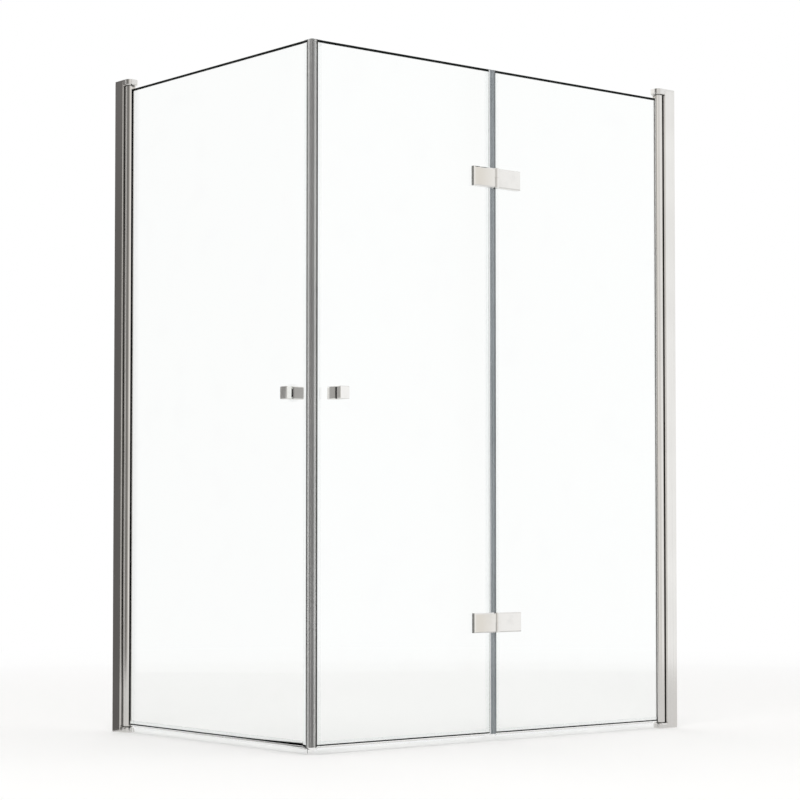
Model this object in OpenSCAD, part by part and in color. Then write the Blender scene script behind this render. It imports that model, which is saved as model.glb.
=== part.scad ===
// Bath screen for a bath that stands in a corner of two walls. The side is one swinging leaf.
// The front is a swinging wall leaf with a door leaf hung on it by two folding hinges.
// Both open outwards at the near corner, where their magnetic seals meet at 45 degrees.
// Millimetres, +Z up. The front runs along X and faces -Y, the side runs along Y and faces -X.
// Height zero is the bath rim. The frame's origin is under the middle of the screen's box.
// Each leaf is drawn in one plan frame: x runs from the corner to the leaf's wall, and y
// points into the bath. The side uses the same frame with x and y exchanged.

/* [Screen] */
// Distance from the middle of the side glass to the wall that carries the front
front_w = 990; // [820:1:1300]
// Distance from the middle of the front glass to the wall that carries the side
side_w = 686; // [450:1:1000]
// Distance from the corner to the gap between door leaf and wall leaf
door_w = 462.5; // [300:0.5:620]
// Height from the bath rim to the top of the end caps
total_h = 1400; // [1200:1:1600]

/* [Glass] */
// Thickness of the panes
glass_t = 6; // [5:0.5:8]
// Height of the glass over the rim
rim_gap = 17; // [16:0.5:24]
// Distance from the top of the glass to the top of the caps
top_gap = 21; // [16:0.5:30]
// Distance from the corner's centre to the edge of the glass
corner_edge = 11; // [10:0.5:16]
// Distance from the middle of the fold gap to each glass edge beside it
fold_edge = 7.7; // [6:0.1:10]

/* [Wall profile] */
// Width of the wall profile
profile_w = 29; // [28:0.5:36]
// Depth of the wall profile
profile_d = 29.5; // [28:0.5:34]
// Thickness of its walls
profile_t = 1.8; // [1.2:0.1:2.2]
// Radius of its front edges
profile_r = 4; // [3:0.5:4.5]
// Radius of the holes for the wall screws
wall_hole_r = 2.5; // [1.5:0.1:3.5]
// Distance between the upper and the lower wall screw
outer_spacing = 1200; // [1000:5:1300]
// Distance between the two middle wall screws
inner_spacing = 400; // [200:5:600]

/* [Adjusting profile] */
// Distance from the wall to the back of the adjusting profile
adjust_back = 6; // [3:0.5:9]
// Distance from the mouth of the wall profile to the front of the adjusting profile
adjust_setback = 2.2; // [1.5:0.1:3]
// Thickness of its walls
adjust_t = 1.8; // [1.2:0.1:2.2]
// Depth of the two guide flanges at its back
flange_d = 4; // [3:0.5:6]
// Thickness of the dark seal strip in front of it
strip_t = 1.2; // [0.8:0.1:1.6]
// Radius of the lock screws' shanks
lock_r = 1.75; // [1.2:0.05:2.5]
// Radius of their heads
lock_head_r = 3.4; // [2.8:0.1:4.5]
// Height of their heads
lock_head_h = 1.6; // [1:0.1:2.5]
// Depth of the hexagon socket in their heads
lock_socket_h = 0.8; // [0.4:0.1:0.9]
// Distance from the wall to the lock screws
lock_u = 17; // [15:0.5:18]
// Distance from the ends of the screen to the outer lock screws
lock_inset = 150; // [80:5:300]

/* [Pivot] */
// Distance from the wall to the pivot axis
pivot_off = 38; // [38:0.5:42]
// Radius of the pivot tube
tube_r = 11; // [10.5:0.1:11.5]
// Thickness of the tube's round wall
tube_t = 1.8; // [1.2:0.1:2.2]
// Distance from the axis to the floor of the tube's glass slot
slot_floor = 4.9; // [4.8:0.1:5.4]
// Thickness of the gasket on each face of the glass
gasket_t = 1.2; // [0.8:0.1:1.6]
// Thickness of the gasket under the edge of the glass
gasket_floor = 0.6; // [0.4:0.1:1]
// Radius of the pivot pins
pin_r = 2.5; // [2:0.1:2.7]
// Radius of the bushes
bush_r = 3.7; // [3.5:0.1:3.9]
// Length of the bushes inside the tube
bush_l = 18; // [12:0.5:30]
// Radius of the bushes' flanges
bush_flange_r = 8; // [6:0.1:10]
// Thickness of the bushes' flanges
bush_flange_t = 1; // [0.6:0.1:2]

/* [End caps] */
// Length of the caps from the wall
cap_l = 51; // [50.5:0.5:56]
// Radius of the corners at the nose of the cap
cap_r = 4; // [2:0.5:6]
// Thickness of the cap over the wall profile
cap_t = 3.5; // [2.5:0.1:5]
// Height of the nose that carries the pivot pin
nose_h = 13; // [9:0.5:13.5]
// Length of the cap's spigot in the adjusting profile
spigot_l = 12; // [6:0.5:20]
// Depth of the pin's hole in the nose
pin_hole_l = 7; // [4:0.5:7.5]

/* [Seals] */
// Thickness of the seals' lips on the glass
lip_t = 1; // [0.8:0.1:1.4]
// Length of the lips
lip_l = 9; // [6:0.5:12]
// Gap between the two corner seals
corner_gap = 0.4; // [0.3:0.05:0.8]
// Wall between the corner seal's face and its magnet
magnet_skin = 0.8; // [0.5:0.05:1]
// Thickness of the magnet strips
magnet_t = 2.4; // [1.5:0.1:2.5]
// Width of the magnet strips
magnet_w = 5.4; // [3.5:0.1:5.6]
// Distance of the magnet's middle from the middle of the glass, along the mitre
magnet_off = 1.9; // [1.6:0.1:2.1]
// Gap between the two fold seals
fold_gap = 0.4; // [0.3:0.05:1]
// Width of the blunt nose of the fold seals
fold_nose = 5; // [3:0.5:6]
// Length of the straight part of the fold seals' heads
fold_flat = 3.6; // [2:0.1:4.5]
// Thickness of the bottom seals under the glass
sill_t = 2; // [1.5:0.1:2.5]
// Height of the bottom seals' lowest edge over the rim
sweep_gap = 2; // [1:0.1:3]
// Thickness of the bottom seals' fins
fin_t = 1.2; // [0.8:0.1:2]
// Reach of the drip fin into the bath
drip_reach = 12; // [8:0.5:16]
// Fall of the drip fin
drip_fall = 6; // [3:0.5:8]

/* [Fold hinge] */
// Height of the hinges
hinge_h = 40; // [34:0.5:60]
// Distance from the hinges' middle to the top or bottom edge of the glass
hinge_inset = 225; // [120:1:400]
// Thickness of the hinge plates
plate_t = 8.5; // [7.5:0.1:11]
// Length of the door's plate up to the barrel
door_plate_l = 56; // [56:0.5:70]
// Length of the wall leaf's plate from the barrel
leaf_plate_l = 63; // [60:0.5:80]
// Width of the plates' bevel
bevel_w = 2.4; // [1:0.1:4]
// Depth of the plates' bevel
bevel_d = 1.3; // [0.5:0.1:2.5]
// Radius of the barrel
barrel_r = 4.25; // [4:0.05:5]
// Distance that the barrel's axis stands in front of the plates
barrel_proud = 0.5; // [0.5:0.1:2]
// Radius of the hinge pins
hinge_pin_r = 2; // [1.5:0.1:2.2]
// Radius of the bushes in the door's knuckles
hinge_bush_r = 3; // [2.8:0.1:3.2]
// Thickness of the pads between metal and glass
pad_t = 1; // [0.5:0.1:1.5]
// Length of the backing plates
back_l = 38; // [36:0.5:40]
// Thickness of the backing plates
back_t = 3.5; // [3:0.1:5]
// Distance that the backing plates stay inside the hinge's height
back_margin = 2; // [1:0.1:3]
// Distance from the edge of the door glass to its backing plates
door_back_edge = 1.4; // [1:0.1:2]
// Distance from the edge of the wall leaf's glass to its backing plates
leaf_back_edge = 6.8; // [6:0.1:8]
// Distance between the two screws of a plate
screw_spacing = 23; // [22:0.5:24]
// Radius of the clamping screws
screw_r = 2.5; // [2:0.1:3]
// Radius of their countersunk heads
screw_head_r = 4.8; // [4:0.1:5]
// Depth of their countersunk heads
screw_head_h = 2.3; // [1.5:0.1:2.5]
// Radius of the hexagon socket in the heads
screw_socket_r = 1.9; // [1.2:0.1:2]
// Length of the screws in the outer plate
screw_bite = 5; // [3:0.1:5.5]
// Radius of the holes in the glass for the hinges
hinge_hole_r = 4; // [3.5:0.1:5]

/* [Knobs] */
// Distance from the corner to the middle of the knobs
knob_u = 70; // [50:0.5:120]
// Height of the middle of the knobs over the rim
knob_z = 697; // [500:1:900]
// Width of the knobs along the glass
knob_w = 22.5; // [18:0.5:30]
// Height of the knobs
knob_h = 25; // [20:0.5:35]
// Length of the outer knobs
knob_out_l = 11.5; // [9:0.5:14]
// Length of the inner knobs
knob_in_l = 26; // [16:0.5:30]
// Radius of the knobs' long edges
knob_r = 1.6; // [0.5:0.1:4]
// Width of the bevel round the knobs' faces
knob_bevel = 0.8; // [0.3:0.1:2]
// Thickness of the washers between knob and glass
washer_t = 1; // [0.5:0.1:2]
// Radius of the washers
washer_r = 8; // [6.5:0.1:9]
// Radius of the stud that joins two knobs
stud_r = 3; // [2:0.1:4]
// Length of the stud in each knob
stud_bite = 7.5; // [5:0.1:7.5]
// Radius of the holes in the glass for the knobs
knob_hole_r = 5; // [4.5:0.1:6]

/* [Clearances] */
// Gap between pieces that slide or stand beside each other
seat_gap = 0.3; // [0.25:0.05:0.5]
// Radial clearance of a pin in its bush
run_gap = 0.05; // [0.02:0.01:0.1]
// Radial clearance of a pressed or threaded piece
press_gap = 0.02; // [0.01:0.01:0.04]

/* [Hidden] */

$fn = 48;

metal = "silver";
steel = "gray";
clear_glass = [0.80, 0.92, 0.90, 0.35];
clear_vinyl = [0.72, 0.78, 0.84, 0.7];
dark_rubber = [0.15, 0.15, 0.16];
magnet_dark = [0.28, 0.28, 0.30];
white_nylon = "whitesmoke";

// A cut runs this far past the face that it opens
over = 1;
// The corner seals meet at this angle to both leaves
mitre = 45;

// Heights
glass_z0 = rim_gap;
glass_z1 = total_h - top_gap;
tube_z0 = nose_h + seat_gap + bush_flange_t;
tube_z1 = total_h - tube_z0;
seal_z0 = glass_z0 - sill_t;
upper_hinge_z = glass_z1 - hinge_inset;
lower_hinge_z = glass_z0 + hinge_inset;
hinge_zs = [upper_hinge_z, lower_hinge_z];
lock_zs = [lock_inset, total_h / 2, total_h - lock_inset];
wall_hole_zs = [for (pitch = [outer_spacing, inner_spacing], s = [-1, 1]) (total_h + s * pitch) / 2];

// Plan sizes across the glass
glass_half = glass_t / 2;
lip_half = glass_half + lip_t;
mouth_half = profile_w / 2 - profile_r;
slide_half = mouth_half - seat_gap;
adjust_front = profile_d - adjust_setback;
strip_front = adjust_front + strip_t;
strip_r = tube_r + seat_gap;
recess_r = strip_r + strip_t;
recess_floor = pivot_off - recess_r;
slot_half = glass_half + gasket_t;
edge_in_tube = slot_floor + gasket_floor;

// Plan places along the leaves
door_edge = door_w - fold_edge;
leaf_edge = door_w + fold_edge;
hinge_u = door_w + barrel_r;
plate_gap = barrel_r + seat_gap;
cap_sweep_r = norm([cap_l - pivot_off, profile_w / 2]) + seat_gap;

// Depths of the hinge and knob parts, counted from the middle of the glass
pad_v = glass_half + pad_t;
plate_v = pad_v + plate_t;
hinge_v = plate_v + barrel_proud;
back_v = pad_v + back_t;
washer_v = glass_half + washer_t;
door_screw_us = screw_pair(door_edge - door_back_edge - back_l / 2);
leaf_screw_us = screw_pair(leaf_edge + leaf_back_edge + back_l / 2);

// The frame's origin is under the middle of the whole screen's box
knob_reach = washer_v + knob_out_l;
barrel_reach = hinge_v + barrel_r;
low_x = -max(knob_reach, profile_w / 2);
low_y = -max(knob_reach, barrel_reach, profile_w / 2);
origin_x = (low_x + front_w) / 2;
origin_y = (low_y + side_w) / 2;

function screw_pair(middle) = [middle - screw_spacing / 2, middle + screw_spacing / 2];

// Frames

module on_front() {
    translate([-origin_x, -origin_y, 0]) children();
}

module on_side() {
    translate([-origin_x, -origin_y, 0]) mirror([1, -1, 0]) children();
}

// Wall plane at x = 0, with the leaf on the side of -x
module at_wall(leaf_w) {
    translate([leaf_w, 0, 0]) children();
}

module at_pivot(leaf_w) {
    translate([leaf_w - pivot_off, 0, 0]) children();
}

// The piece at the foot of the screen and its mirror image at the top
module at_both_ends() {
    children();
    at_top() children();
}

module at_top() {
    translate([0, 0, total_h]) mirror([0, 0, 1]) children();
}

// General shapes

module column(z0, z1) {
    translate([0, 0, z0]) linear_extrude(z1 - z0) children();
}

// Extrudes an outline of depth and height along the leaf
module along_leaf(u0, u1) {
    translate([u0, 0, 0]) rotate([90, 0, 90]) linear_extrude(u1 - u0) children();
}

// A round bar across the glass, from depth v0 to depth v1
module cross_bar(u, z, v0, v1, r) {
    translate([u, v1, z]) rotate([90, 0, 0]) cylinder(h = v1 - v0, r = r);
}

// A bar from x0 to x1 with round corners at x0
module round_nosed(x0, x1, half, r) {
    translate([x0 + r, -half]) square([x1 - x0 - r, 2 * half]);
    translate([x0, r - half]) square([x1 - x0, 2 * (half - r)]);
    for (s = [-1, 1]) translate([x0 + r, s * (half - r)]) circle(r);
}

// A rectangle with four round corners
module round_rect(w, h, r) {
    square([w - 2 * r, h], center = true);
    square([w, h - 2 * r], center = true);
    for (x = [-1, 1], y = [-1, 1]) translate([x * (w / 2 - r), y * (h / 2 - r)]) circle(r);
}

// Wall fixings

module wall_profile(leaf_w) {
    color(metal) difference() {
        at_wall(leaf_w) column(cap_t, total_h - cap_t) wall_profile_outline();
        at_wall(leaf_w) for (z = wall_hole_zs) wall_hole(z);
        at_wall(leaf_w) for (z = lock_zs) cross_bar(-lock_u, z, 0, profile_w, lock_r + run_gap);
    }
}

module wall_profile_outline() {
    difference() {
        round_nosed(-profile_d, 0, profile_w / 2, profile_r);
        round_nosed(profile_t - profile_d, -profile_t, profile_w / 2 - profile_t, profile_r - profile_t);
        translate([-profile_d - over, -mouth_half]) square([profile_t + 2 * over, 2 * mouth_half]);
    }
}

module wall_hole(z) {
    translate([-profile_t - over, 0, z]) rotate([0, 90, 0])
        cylinder(h = profile_t + 2 * over, r = wall_hole_r);
}

module adjusting_profile(leaf_w) {
    color(metal) difference() {
        at_wall(leaf_w) column(cap_t, total_h - cap_t) adjusting_outline();
        at_wall(leaf_w) for (z = lock_zs) cross_bar(-lock_u, z, 0, profile_w, lock_r + press_gap);
    }
}

module adjusting_outline() {
    rear_half = profile_w / 2 - profile_t - seat_gap;
    cavity_l = adjust_front - adjust_back;
    difference() {
        union() {
            translate([-adjust_front, -slide_half]) square([cavity_l, 2 * slide_half]);
            translate([-adjust_back - flange_d, -rear_half]) square([flange_d, 2 * rear_half]);
        }
        adjusting_cavity(0);
        translate([-pivot_off, 0]) circle(recess_r);
    }
}

// The hollow of the adjusting profile, or the spigot in it when inset is a clearance
module adjusting_cavity(inset) {
    x0 = adjust_t - recess_floor + inset;
    x1 = -adjust_back - adjust_t - inset;
    half = slide_half - adjust_t - inset;
    translate([x0, -half]) square([x1 - x0, 2 * half]);
}

module profile_seal(leaf_w) {
    z0 = nose_h + seat_gap;
    color(dark_rubber) at_wall(leaf_w) column(z0, total_h - z0) difference() {
        translate([-strip_front, -slide_half]) square([strip_front - recess_floor, 2 * slide_half]);
        translate([-pivot_off, 0]) circle(strip_r);
        difference() {
            translate([-adjust_front, -profile_w]) square([adjust_front, 2 * profile_w]);
            translate([-pivot_off, 0]) circle(recess_r);
        }
    }
}

module lock_screws(leaf_w) {
    face = profile_w / 2;
    color(steel) at_wall(leaf_w) for (z = lock_zs) difference() {
        union() {
            cross_bar(-lock_u, z, slide_half - adjust_t, face, lock_r);
            cross_bar(-lock_u, z, face, face + lock_head_h, lock_head_r);
        }
        translate([-lock_u, face + lock_head_h + over, z]) rotate([90, 0, 0])
            cylinder(h = lock_socket_h + over, r = lock_r, $fn = 6);
    }
}

module end_cap(leaf_w) {
    color(metal) difference() {
        union() {
            at_wall(leaf_w) column(0, cap_t) round_nosed(-cap_l, 0, profile_w / 2, cap_r);
            at_wall(leaf_w) column(0, nose_h)
                round_nosed(-cap_l, -profile_d - seat_gap, profile_w / 2, cap_r);
            at_wall(leaf_w) column(0, cap_t + spigot_l) adjusting_cavity(seat_gap);
        }
        at_pivot(leaf_w) column(nose_h - pin_hole_l, nose_h + over) circle(pin_r + press_gap);
    }
}

module pivot_pins(leaf_w) {
    color(steel) at_pivot(leaf_w) at_both_ends()
        column(nose_h - pin_hole_l + seat_gap, tube_z0 + bush_l - seat_gap) circle(pin_r);
}

// Pivot tube and what it holds

module pivot_tube(leaf_w) {
    color(metal) at_pivot(leaf_w) column(tube_z0, tube_z1) difference() {
        circle(tube_r);
        circle(bush_r + press_gap);
        translate([-tube_r - over, -slot_half]) square([tube_r + over - slot_floor, 2 * slot_half]);
        intersection() {
            difference() {
                circle(tube_r - tube_t);
                circle(bush_r + tube_t);
            }
            translate([0, -tube_r]) square([tube_r, 2 * tube_r]);
        }
    }
}

module pivot_bushes(leaf_w) {
    color(white_nylon) at_pivot(leaf_w) at_both_ends() difference() {
        union() {
            column(tube_z0 - bush_flange_t, tube_z0) circle(bush_flange_r);
            column(tube_z0, tube_z0 + bush_l) circle(bush_r);
        }
        column(0, tube_z0 + bush_l + over) circle(pin_r + run_gap);
    }
}

module glass_gasket(leaf_w) {
    color(dark_rubber) at_pivot(leaf_w) column(glass_z0, glass_z1) difference() {
        translate([-tube_r, -slot_half]) square([tube_r - slot_floor, 2 * slot_half]);
        translate([-tube_r - over, -glass_half]) square([tube_r + over - edge_in_tube, glass_t]);
    }
}

// Panes

module pane(u0, u1) {
    color(clear_glass) difference() {
        translate([u0, -glass_half, glass_z0]) cube([u1 - u0, glass_t, glass_z1 - glass_z0]);
        children();
    }
}

module pane_hole(u, z, r) {
    cross_bar(u, z, -glass_t, glass_t, r);
}

// Seals

module corner_seal() {
    color(clear_vinyl) difference() {
        column(seal_z0, glass_z1) {
            corner_head_outline();
            clip_lips_outline(corner_edge - lip_t, corner_edge + lip_l);
        }
        column(seal_z0 - over, glass_z1 + over) magnet_outline();
    }
}

module corner_head_outline() {
    shift = corner_gap / sqrt(2);
    polygon([
        [shift - lip_half, -lip_half],
        [corner_edge, -lip_half],
        [corner_edge, lip_half],
        [shift + lip_half, lip_half]
    ]);
}

// The two lips of a seal, which grip the glass between them
module clip_lips_outline(u0, u1) {
    for (v = [-lip_half, glass_half]) translate([u0, v]) square([u1 - u0, lip_t]);
}

module magnet_outline() {
    depth = corner_gap / 2 + magnet_skin + magnet_t;
    rotate(mitre) translate([magnet_off - magnet_w / 2, -depth]) square([magnet_w, magnet_t]);
}

module corner_magnet() {
    color(magnet_dark) column(seal_z0, glass_z1) magnet_outline();
}

// Head towards +x, with the glass edge at x = 0
module fold_seal_outline() {
    nose_x = fold_edge - fold_gap / 2;
    clip_lips_outline(-lip_l, lip_t);
    polygon([
        [0, -lip_half],
        [fold_flat, -lip_half],
        [nose_x, -fold_nose / 2],
        [nose_x, fold_nose / 2],
        [fold_flat, lip_half],
        [0, lip_half]
    ]);
}

// The fold seals are cut away where the hinges clamp the glass
module fold_seal_length() {
    cut = hinge_h / 2 + seat_gap;
    spans = [
        [seal_z0, lower_hinge_z - cut],
        [lower_hinge_z + cut, upper_hinge_z - cut],
        [upper_hinge_z + cut, glass_z1]
    ];
    color(clear_vinyl) for (span = spans) column(span[0], span[1]) children();
}

module bottom_seal(u0, u1, fin_u0, fin_u1) {
    color(clear_vinyl) {
        along_leaf(u0, u1) {
            for (v = [-lip_half, glass_half]) translate([v, seal_z0]) square([lip_t, sill_t + lip_l]);
            translate([-lip_half, seal_z0]) square([2 * lip_half, sill_t]);
        }
        along_leaf(fin_u0, fin_u1) translate([-fin_t / 2, sweep_gap]) square([fin_t, seal_z0 - sweep_gap]);
        along_leaf(u0, min(u1, fin_u1)) drip_fin_outline();
    }
}

module drip_fin_outline() {
    polygon([
        [0, seal_z0 - sill_t],
        [drip_reach - fin_t, seal_z0 - drip_fall - fin_t / 2],
        [drip_reach, seal_z0 - drip_fall],
        [lip_half, seal_z0],
        [0, seal_z0]
    ]);
}

// Bottom seals of a leaf that hangs on a pivot tube
module bottom_seal_to_pivot(leaf_w, u0, fin_u0) {
    axis_u = leaf_w - pivot_off;
    bottom_seal(u0, axis_u - tube_r - seat_gap, fin_u0, axis_u - cap_sweep_r);
}

// Fold hinge. A plate is drawn with the barrel's axis at x = 0 and its leaf towards +x.

module hinge_plate(plate_l, knuckle_z0, knuckle_z1, bore_r, screw_us) {
    color(metal) difference() {
        union() {
            intersection() {
                along_leaf(plate_gap, barrel_r + plate_l) plate_side_outline();
                column(-hinge_h, hinge_h) plate_plan_outline(plate_l);
            }
            column(knuckle_z0, knuckle_z1) {
                translate([0, -hinge_v]) circle(barrel_r);
                translate([0, -hinge_v]) square([plate_gap + over, barrel_r]);
            }
        }
        translate([0, -hinge_v, 0]) column(knuckle_z0 - over, knuckle_z1 + over) circle(bore_r);
        for (u = screw_us) cross_bar(u, 0, -pad_v - screw_bite - seat_gap, 0, screw_r + press_gap);
    }
}

module plate_side_outline() {
    polygon([
        [-pad_v, -hinge_h / 2],
        [-pad_v, hinge_h / 2],
        [bevel_d - plate_v, hinge_h / 2],
        [-plate_v, hinge_h / 2 - bevel_w],
        [-plate_v, bevel_w - hinge_h / 2],
        [bevel_d - plate_v, -hinge_h / 2]
    ]);
}

module plate_plan_outline(plate_l) {
    end_x = barrel_r + plate_l;
    polygon([
        [plate_gap, -plate_v],
        [end_x - bevel_w, -plate_v],
        [end_x, bevel_d - plate_v],
        [end_x, -pad_v],
        [plate_gap, -pad_v]
    ]);
}

module door_hinge_plate(z) {
    screw_us = [for (u = door_screw_us) hinge_u - u];
    translate([hinge_u, 0, z]) mirror([1, 0, 0])
        hinge_plate(door_plate_l, seat_gap / 2, hinge_h / 2, hinge_bush_r + press_gap, screw_us);
}

module leaf_hinge_plate(z) {
    screw_us = [for (u = leaf_screw_us) u - hinge_u];
    translate([hinge_u, 0, z])
        hinge_plate(leaf_plate_l, -hinge_h / 2, -seat_gap / 2, hinge_pin_r + press_gap, screw_us);
}

module backing_plate(screw_us, z) {
    back_h = hinge_h - 2 * back_margin;
    middle = (screw_us[0] + screw_us[1]) / 2;
    color(metal) difference() {
        translate([middle, back_v, z]) rotate([90, 0, 0])
            linear_extrude(back_t) round_rect(back_l, back_h, bevel_w);
        for (u = screw_us) {
            cross_bar(u, z, 0, back_v + over, screw_r + run_gap);
            translate([u, back_v, z]) rotate([90, 0, 0])
                cylinder(h = screw_head_h + run_gap, r1 = screw_head_r + run_gap, r2 = screw_r + run_gap);
        }
    }
}

// Pads of one plate: the outer one has a collar in each glass hole
module hinge_pads(u0, u1, screw_us, z) {
    back_h = hinge_h - 2 * back_margin;
    middle = (screw_us[0] + screw_us[1]) / 2;
    color(dark_rubber) difference() {
        union() {
            translate([u0, -pad_v, z - hinge_h / 2]) cube([u1 - u0, pad_t, hinge_h]);
            for (u = screw_us) cross_bar(u, z, -pad_v, glass_half, hinge_hole_r - run_gap);
            translate([middle - back_l / 2, glass_half, z - back_h / 2]) cube([back_l, pad_t, back_h]);
        }
        for (u = screw_us) cross_bar(u, z, -pad_v - over, pad_v + over, screw_r + run_gap);
    }
}

module clamp_screw(u, z) {
    color(steel) difference() {
        union() {
            cross_bar(u, z, -pad_v - screw_bite, back_v, screw_r);
            translate([u, back_v, z]) rotate([90, 0, 0])
                cylinder(h = screw_head_h, r1 = screw_head_r, r2 = screw_r);
        }
        translate([u, back_v + over, z]) rotate([90, 0, 0])
            cylinder(h = screw_head_h + over, r = screw_socket_r, $fn = 6);
    }
}

module hinge_pin(z) {
    z0 = z + seat_gap - hinge_h / 2;
    z1 = z - seat_gap + hinge_h / 2;
    color(steel) translate([hinge_u, -hinge_v, 0]) column(z0, z1) circle(hinge_pin_r);
}

module hinge_bush(z) {
    color(white_nylon) translate([hinge_u, -hinge_v, z])
        column(seat_gap / 2, hinge_h / 2) difference() {
            circle(hinge_bush_r);
            circle(hinge_pin_r + run_gap);
        }
}

// Knobs

// A knob block whose foot is at depth 0 and whose face looks along -y
module knob_block(block_l) {
    color(metal) intersection() {
        rotate([90, 0, 0]) linear_extrude(block_l) round_rect(knob_w, knob_h, knob_r);
        rotate([0, 90, 0]) linear_extrude(2 * knob_w, center = true) knob_side_outline(block_l, knob_h);
        linear_extrude(2 * knob_h, center = true) knob_side_outline(block_l, knob_w);
    }
}

module knob_side_outline(block_l, across) {
    half = across / 2;
    flat_half = half - knob_bevel;
    polygon([
        [-flat_half, -block_l],
        [flat_half, -block_l],
        [half, knob_bevel - block_l],
        [half, 0],
        [-half, 0],
        [-half, knob_bevel - block_l]
    ]);
}

module knob_outer() {
    difference() {
        translate([knob_u, -washer_v, knob_z]) knob_block(knob_out_l);
        cross_bar(knob_u, knob_z, -washer_v - stud_bite - seat_gap, 0, stud_r + press_gap);
    }
}

module knob_inner() {
    difference() {
        translate([knob_u, washer_v, knob_z]) mirror([0, 1, 0]) knob_block(knob_in_l);
        cross_bar(knob_u, knob_z, 0, washer_v + stud_bite + seat_gap, stud_r + press_gap);
    }
}

module knob_stud() {
    reach = washer_v + stud_bite;
    color(steel) cross_bar(knob_u, knob_z, -reach, reach, stud_r);
}

module knob_washers() {
    color(dark_rubber) difference() {
        union() {
            cross_bar(knob_u, knob_z, -washer_v, -glass_half, washer_r);
            cross_bar(knob_u, knob_z, -glass_half, glass_half, knob_hole_r - run_gap);
            cross_bar(knob_u, knob_z, glass_half, washer_v, washer_r);
        }
        cross_bar(knob_u, knob_z, -washer_v - over, washer_v + over, stud_r + run_gap);
    }
}

// Nodes of the front's wall fixing

module front_wall_profile() { on_front() wall_profile(front_w); }
module front_adjusting_profile() { on_front() adjusting_profile(front_w); }
module front_profile_seal() { on_front() profile_seal(front_w); }
module front_top_cap() { on_front() at_top() end_cap(front_w); }
module front_bottom_cap() { on_front() end_cap(front_w); }
module front_pivot_pins() { on_front() pivot_pins(front_w); }
module front_lock_screws() { on_front() lock_screws(front_w); }

// Nodes of the side's wall fixing

module side_wall_profile() { on_side() wall_profile(side_w); }
module side_adjusting_profile() { on_side() adjusting_profile(side_w); }
module side_profile_seal() { on_side() profile_seal(side_w); }
module side_top_cap() { on_side() at_top() end_cap(side_w); }
module side_bottom_cap() { on_side() end_cap(side_w); }
module side_pivot_pins() { on_side() pivot_pins(side_w); }
module side_lock_screws() { on_side() lock_screws(side_w); }

// Nodes of the side leaf

module side_pivot_tube() { on_side() pivot_tube(side_w); }
module side_pivot_bushes() { on_side() pivot_bushes(side_w); }
module side_glass_gasket() { on_side() glass_gasket(side_w); }

module side_glass() {
    on_side() pane(corner_edge, side_w - pivot_off - edge_in_tube) pane_hole(knob_u, knob_z, knob_hole_r);
}

module side_bottom_seal() {
    on_side() bottom_seal_to_pivot(side_w, corner_edge + lip_l + seat_gap, corner_edge);
}

module side_corner_seal() { on_side() corner_seal(); }
module side_corner_magnet() { on_side() corner_magnet(); }
module side_knob_outer() { on_side() knob_outer(); }
module side_knob_inner() { on_side() knob_inner(); }
module side_knob_stud() { on_side() knob_stud(); }
module side_knob_washers() { on_side() knob_washers(); }

// Nodes of the wall leaf

module front_pivot_tube() { on_front() pivot_tube(front_w); }
module front_pivot_bushes() { on_front() pivot_bushes(front_w); }
module front_glass_gasket() { on_front() glass_gasket(front_w); }

module wall_leaf_glass() {
    on_front() pane(leaf_edge, front_w - pivot_off - edge_in_tube)
        for (z = hinge_zs, u = leaf_screw_us) pane_hole(u, z, hinge_hole_r);
}

module wall_leaf_bottom_seal() {
    on_front() bottom_seal_to_pivot(front_w, leaf_edge + lip_l + seat_gap, leaf_edge);
}

module wall_leaf_fold_seal() {
    on_front() fold_seal_length() translate([leaf_edge, 0]) mirror([1, 0]) fold_seal_outline();
}

module upper_hinge_wall_plate() { on_front() leaf_hinge_plate(upper_hinge_z); }
module lower_hinge_wall_plate() { on_front() leaf_hinge_plate(lower_hinge_z); }
module upper_hinge_wall_backing() { on_front() backing_plate(leaf_screw_us, upper_hinge_z); }
module lower_hinge_wall_backing() { on_front() backing_plate(leaf_screw_us, lower_hinge_z); }

module wall_leaf_hinge_pads() {
    plate_end = hinge_u + barrel_r + leaf_plate_l;
    on_front() for (z = hinge_zs) hinge_pads(leaf_edge, plate_end, leaf_screw_us, z);
}

module wall_leaf_hinge_screws() {
    on_front() for (z = hinge_zs, u = leaf_screw_us) clamp_screw(u, z);
}

module hinge_pins() {
    on_front() for (z = hinge_zs) hinge_pin(z);
}

// Nodes of the door leaf

module door_glass() {
    on_front() pane(corner_edge, door_edge) {
        pane_hole(knob_u, knob_z, knob_hole_r);
        for (z = hinge_zs, u = door_screw_us) pane_hole(u, z, hinge_hole_r);
    }
}

module door_bottom_seal() {
    lips_u0 = corner_edge + lip_l + seat_gap;
    on_front() bottom_seal(lips_u0, door_edge - lip_l - seat_gap, corner_edge, door_edge);
}

module door_fold_seal() {
    on_front() fold_seal_length() translate([door_edge, 0]) fold_seal_outline();
}

module door_corner_seal() { on_front() corner_seal(); }
module door_corner_magnet() { on_front() corner_magnet(); }
module upper_hinge_door_plate() { on_front() door_hinge_plate(upper_hinge_z); }
module lower_hinge_door_plate() { on_front() door_hinge_plate(lower_hinge_z); }
module upper_hinge_door_backing() { on_front() backing_plate(door_screw_us, upper_hinge_z); }
module lower_hinge_door_backing() { on_front() backing_plate(door_screw_us, lower_hinge_z); }

module door_hinge_pads() {
    plate_end = hinge_u - barrel_r - door_plate_l;
    on_front() for (z = hinge_zs) hinge_pads(plate_end, door_edge, door_screw_us, z);
}

module door_hinge_screws() {
    on_front() for (z = hinge_zs, u = door_screw_us) clamp_screw(u, z);
}

module hinge_bushes() {
    on_front() for (z = hinge_zs) hinge_bush(z);
}

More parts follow.
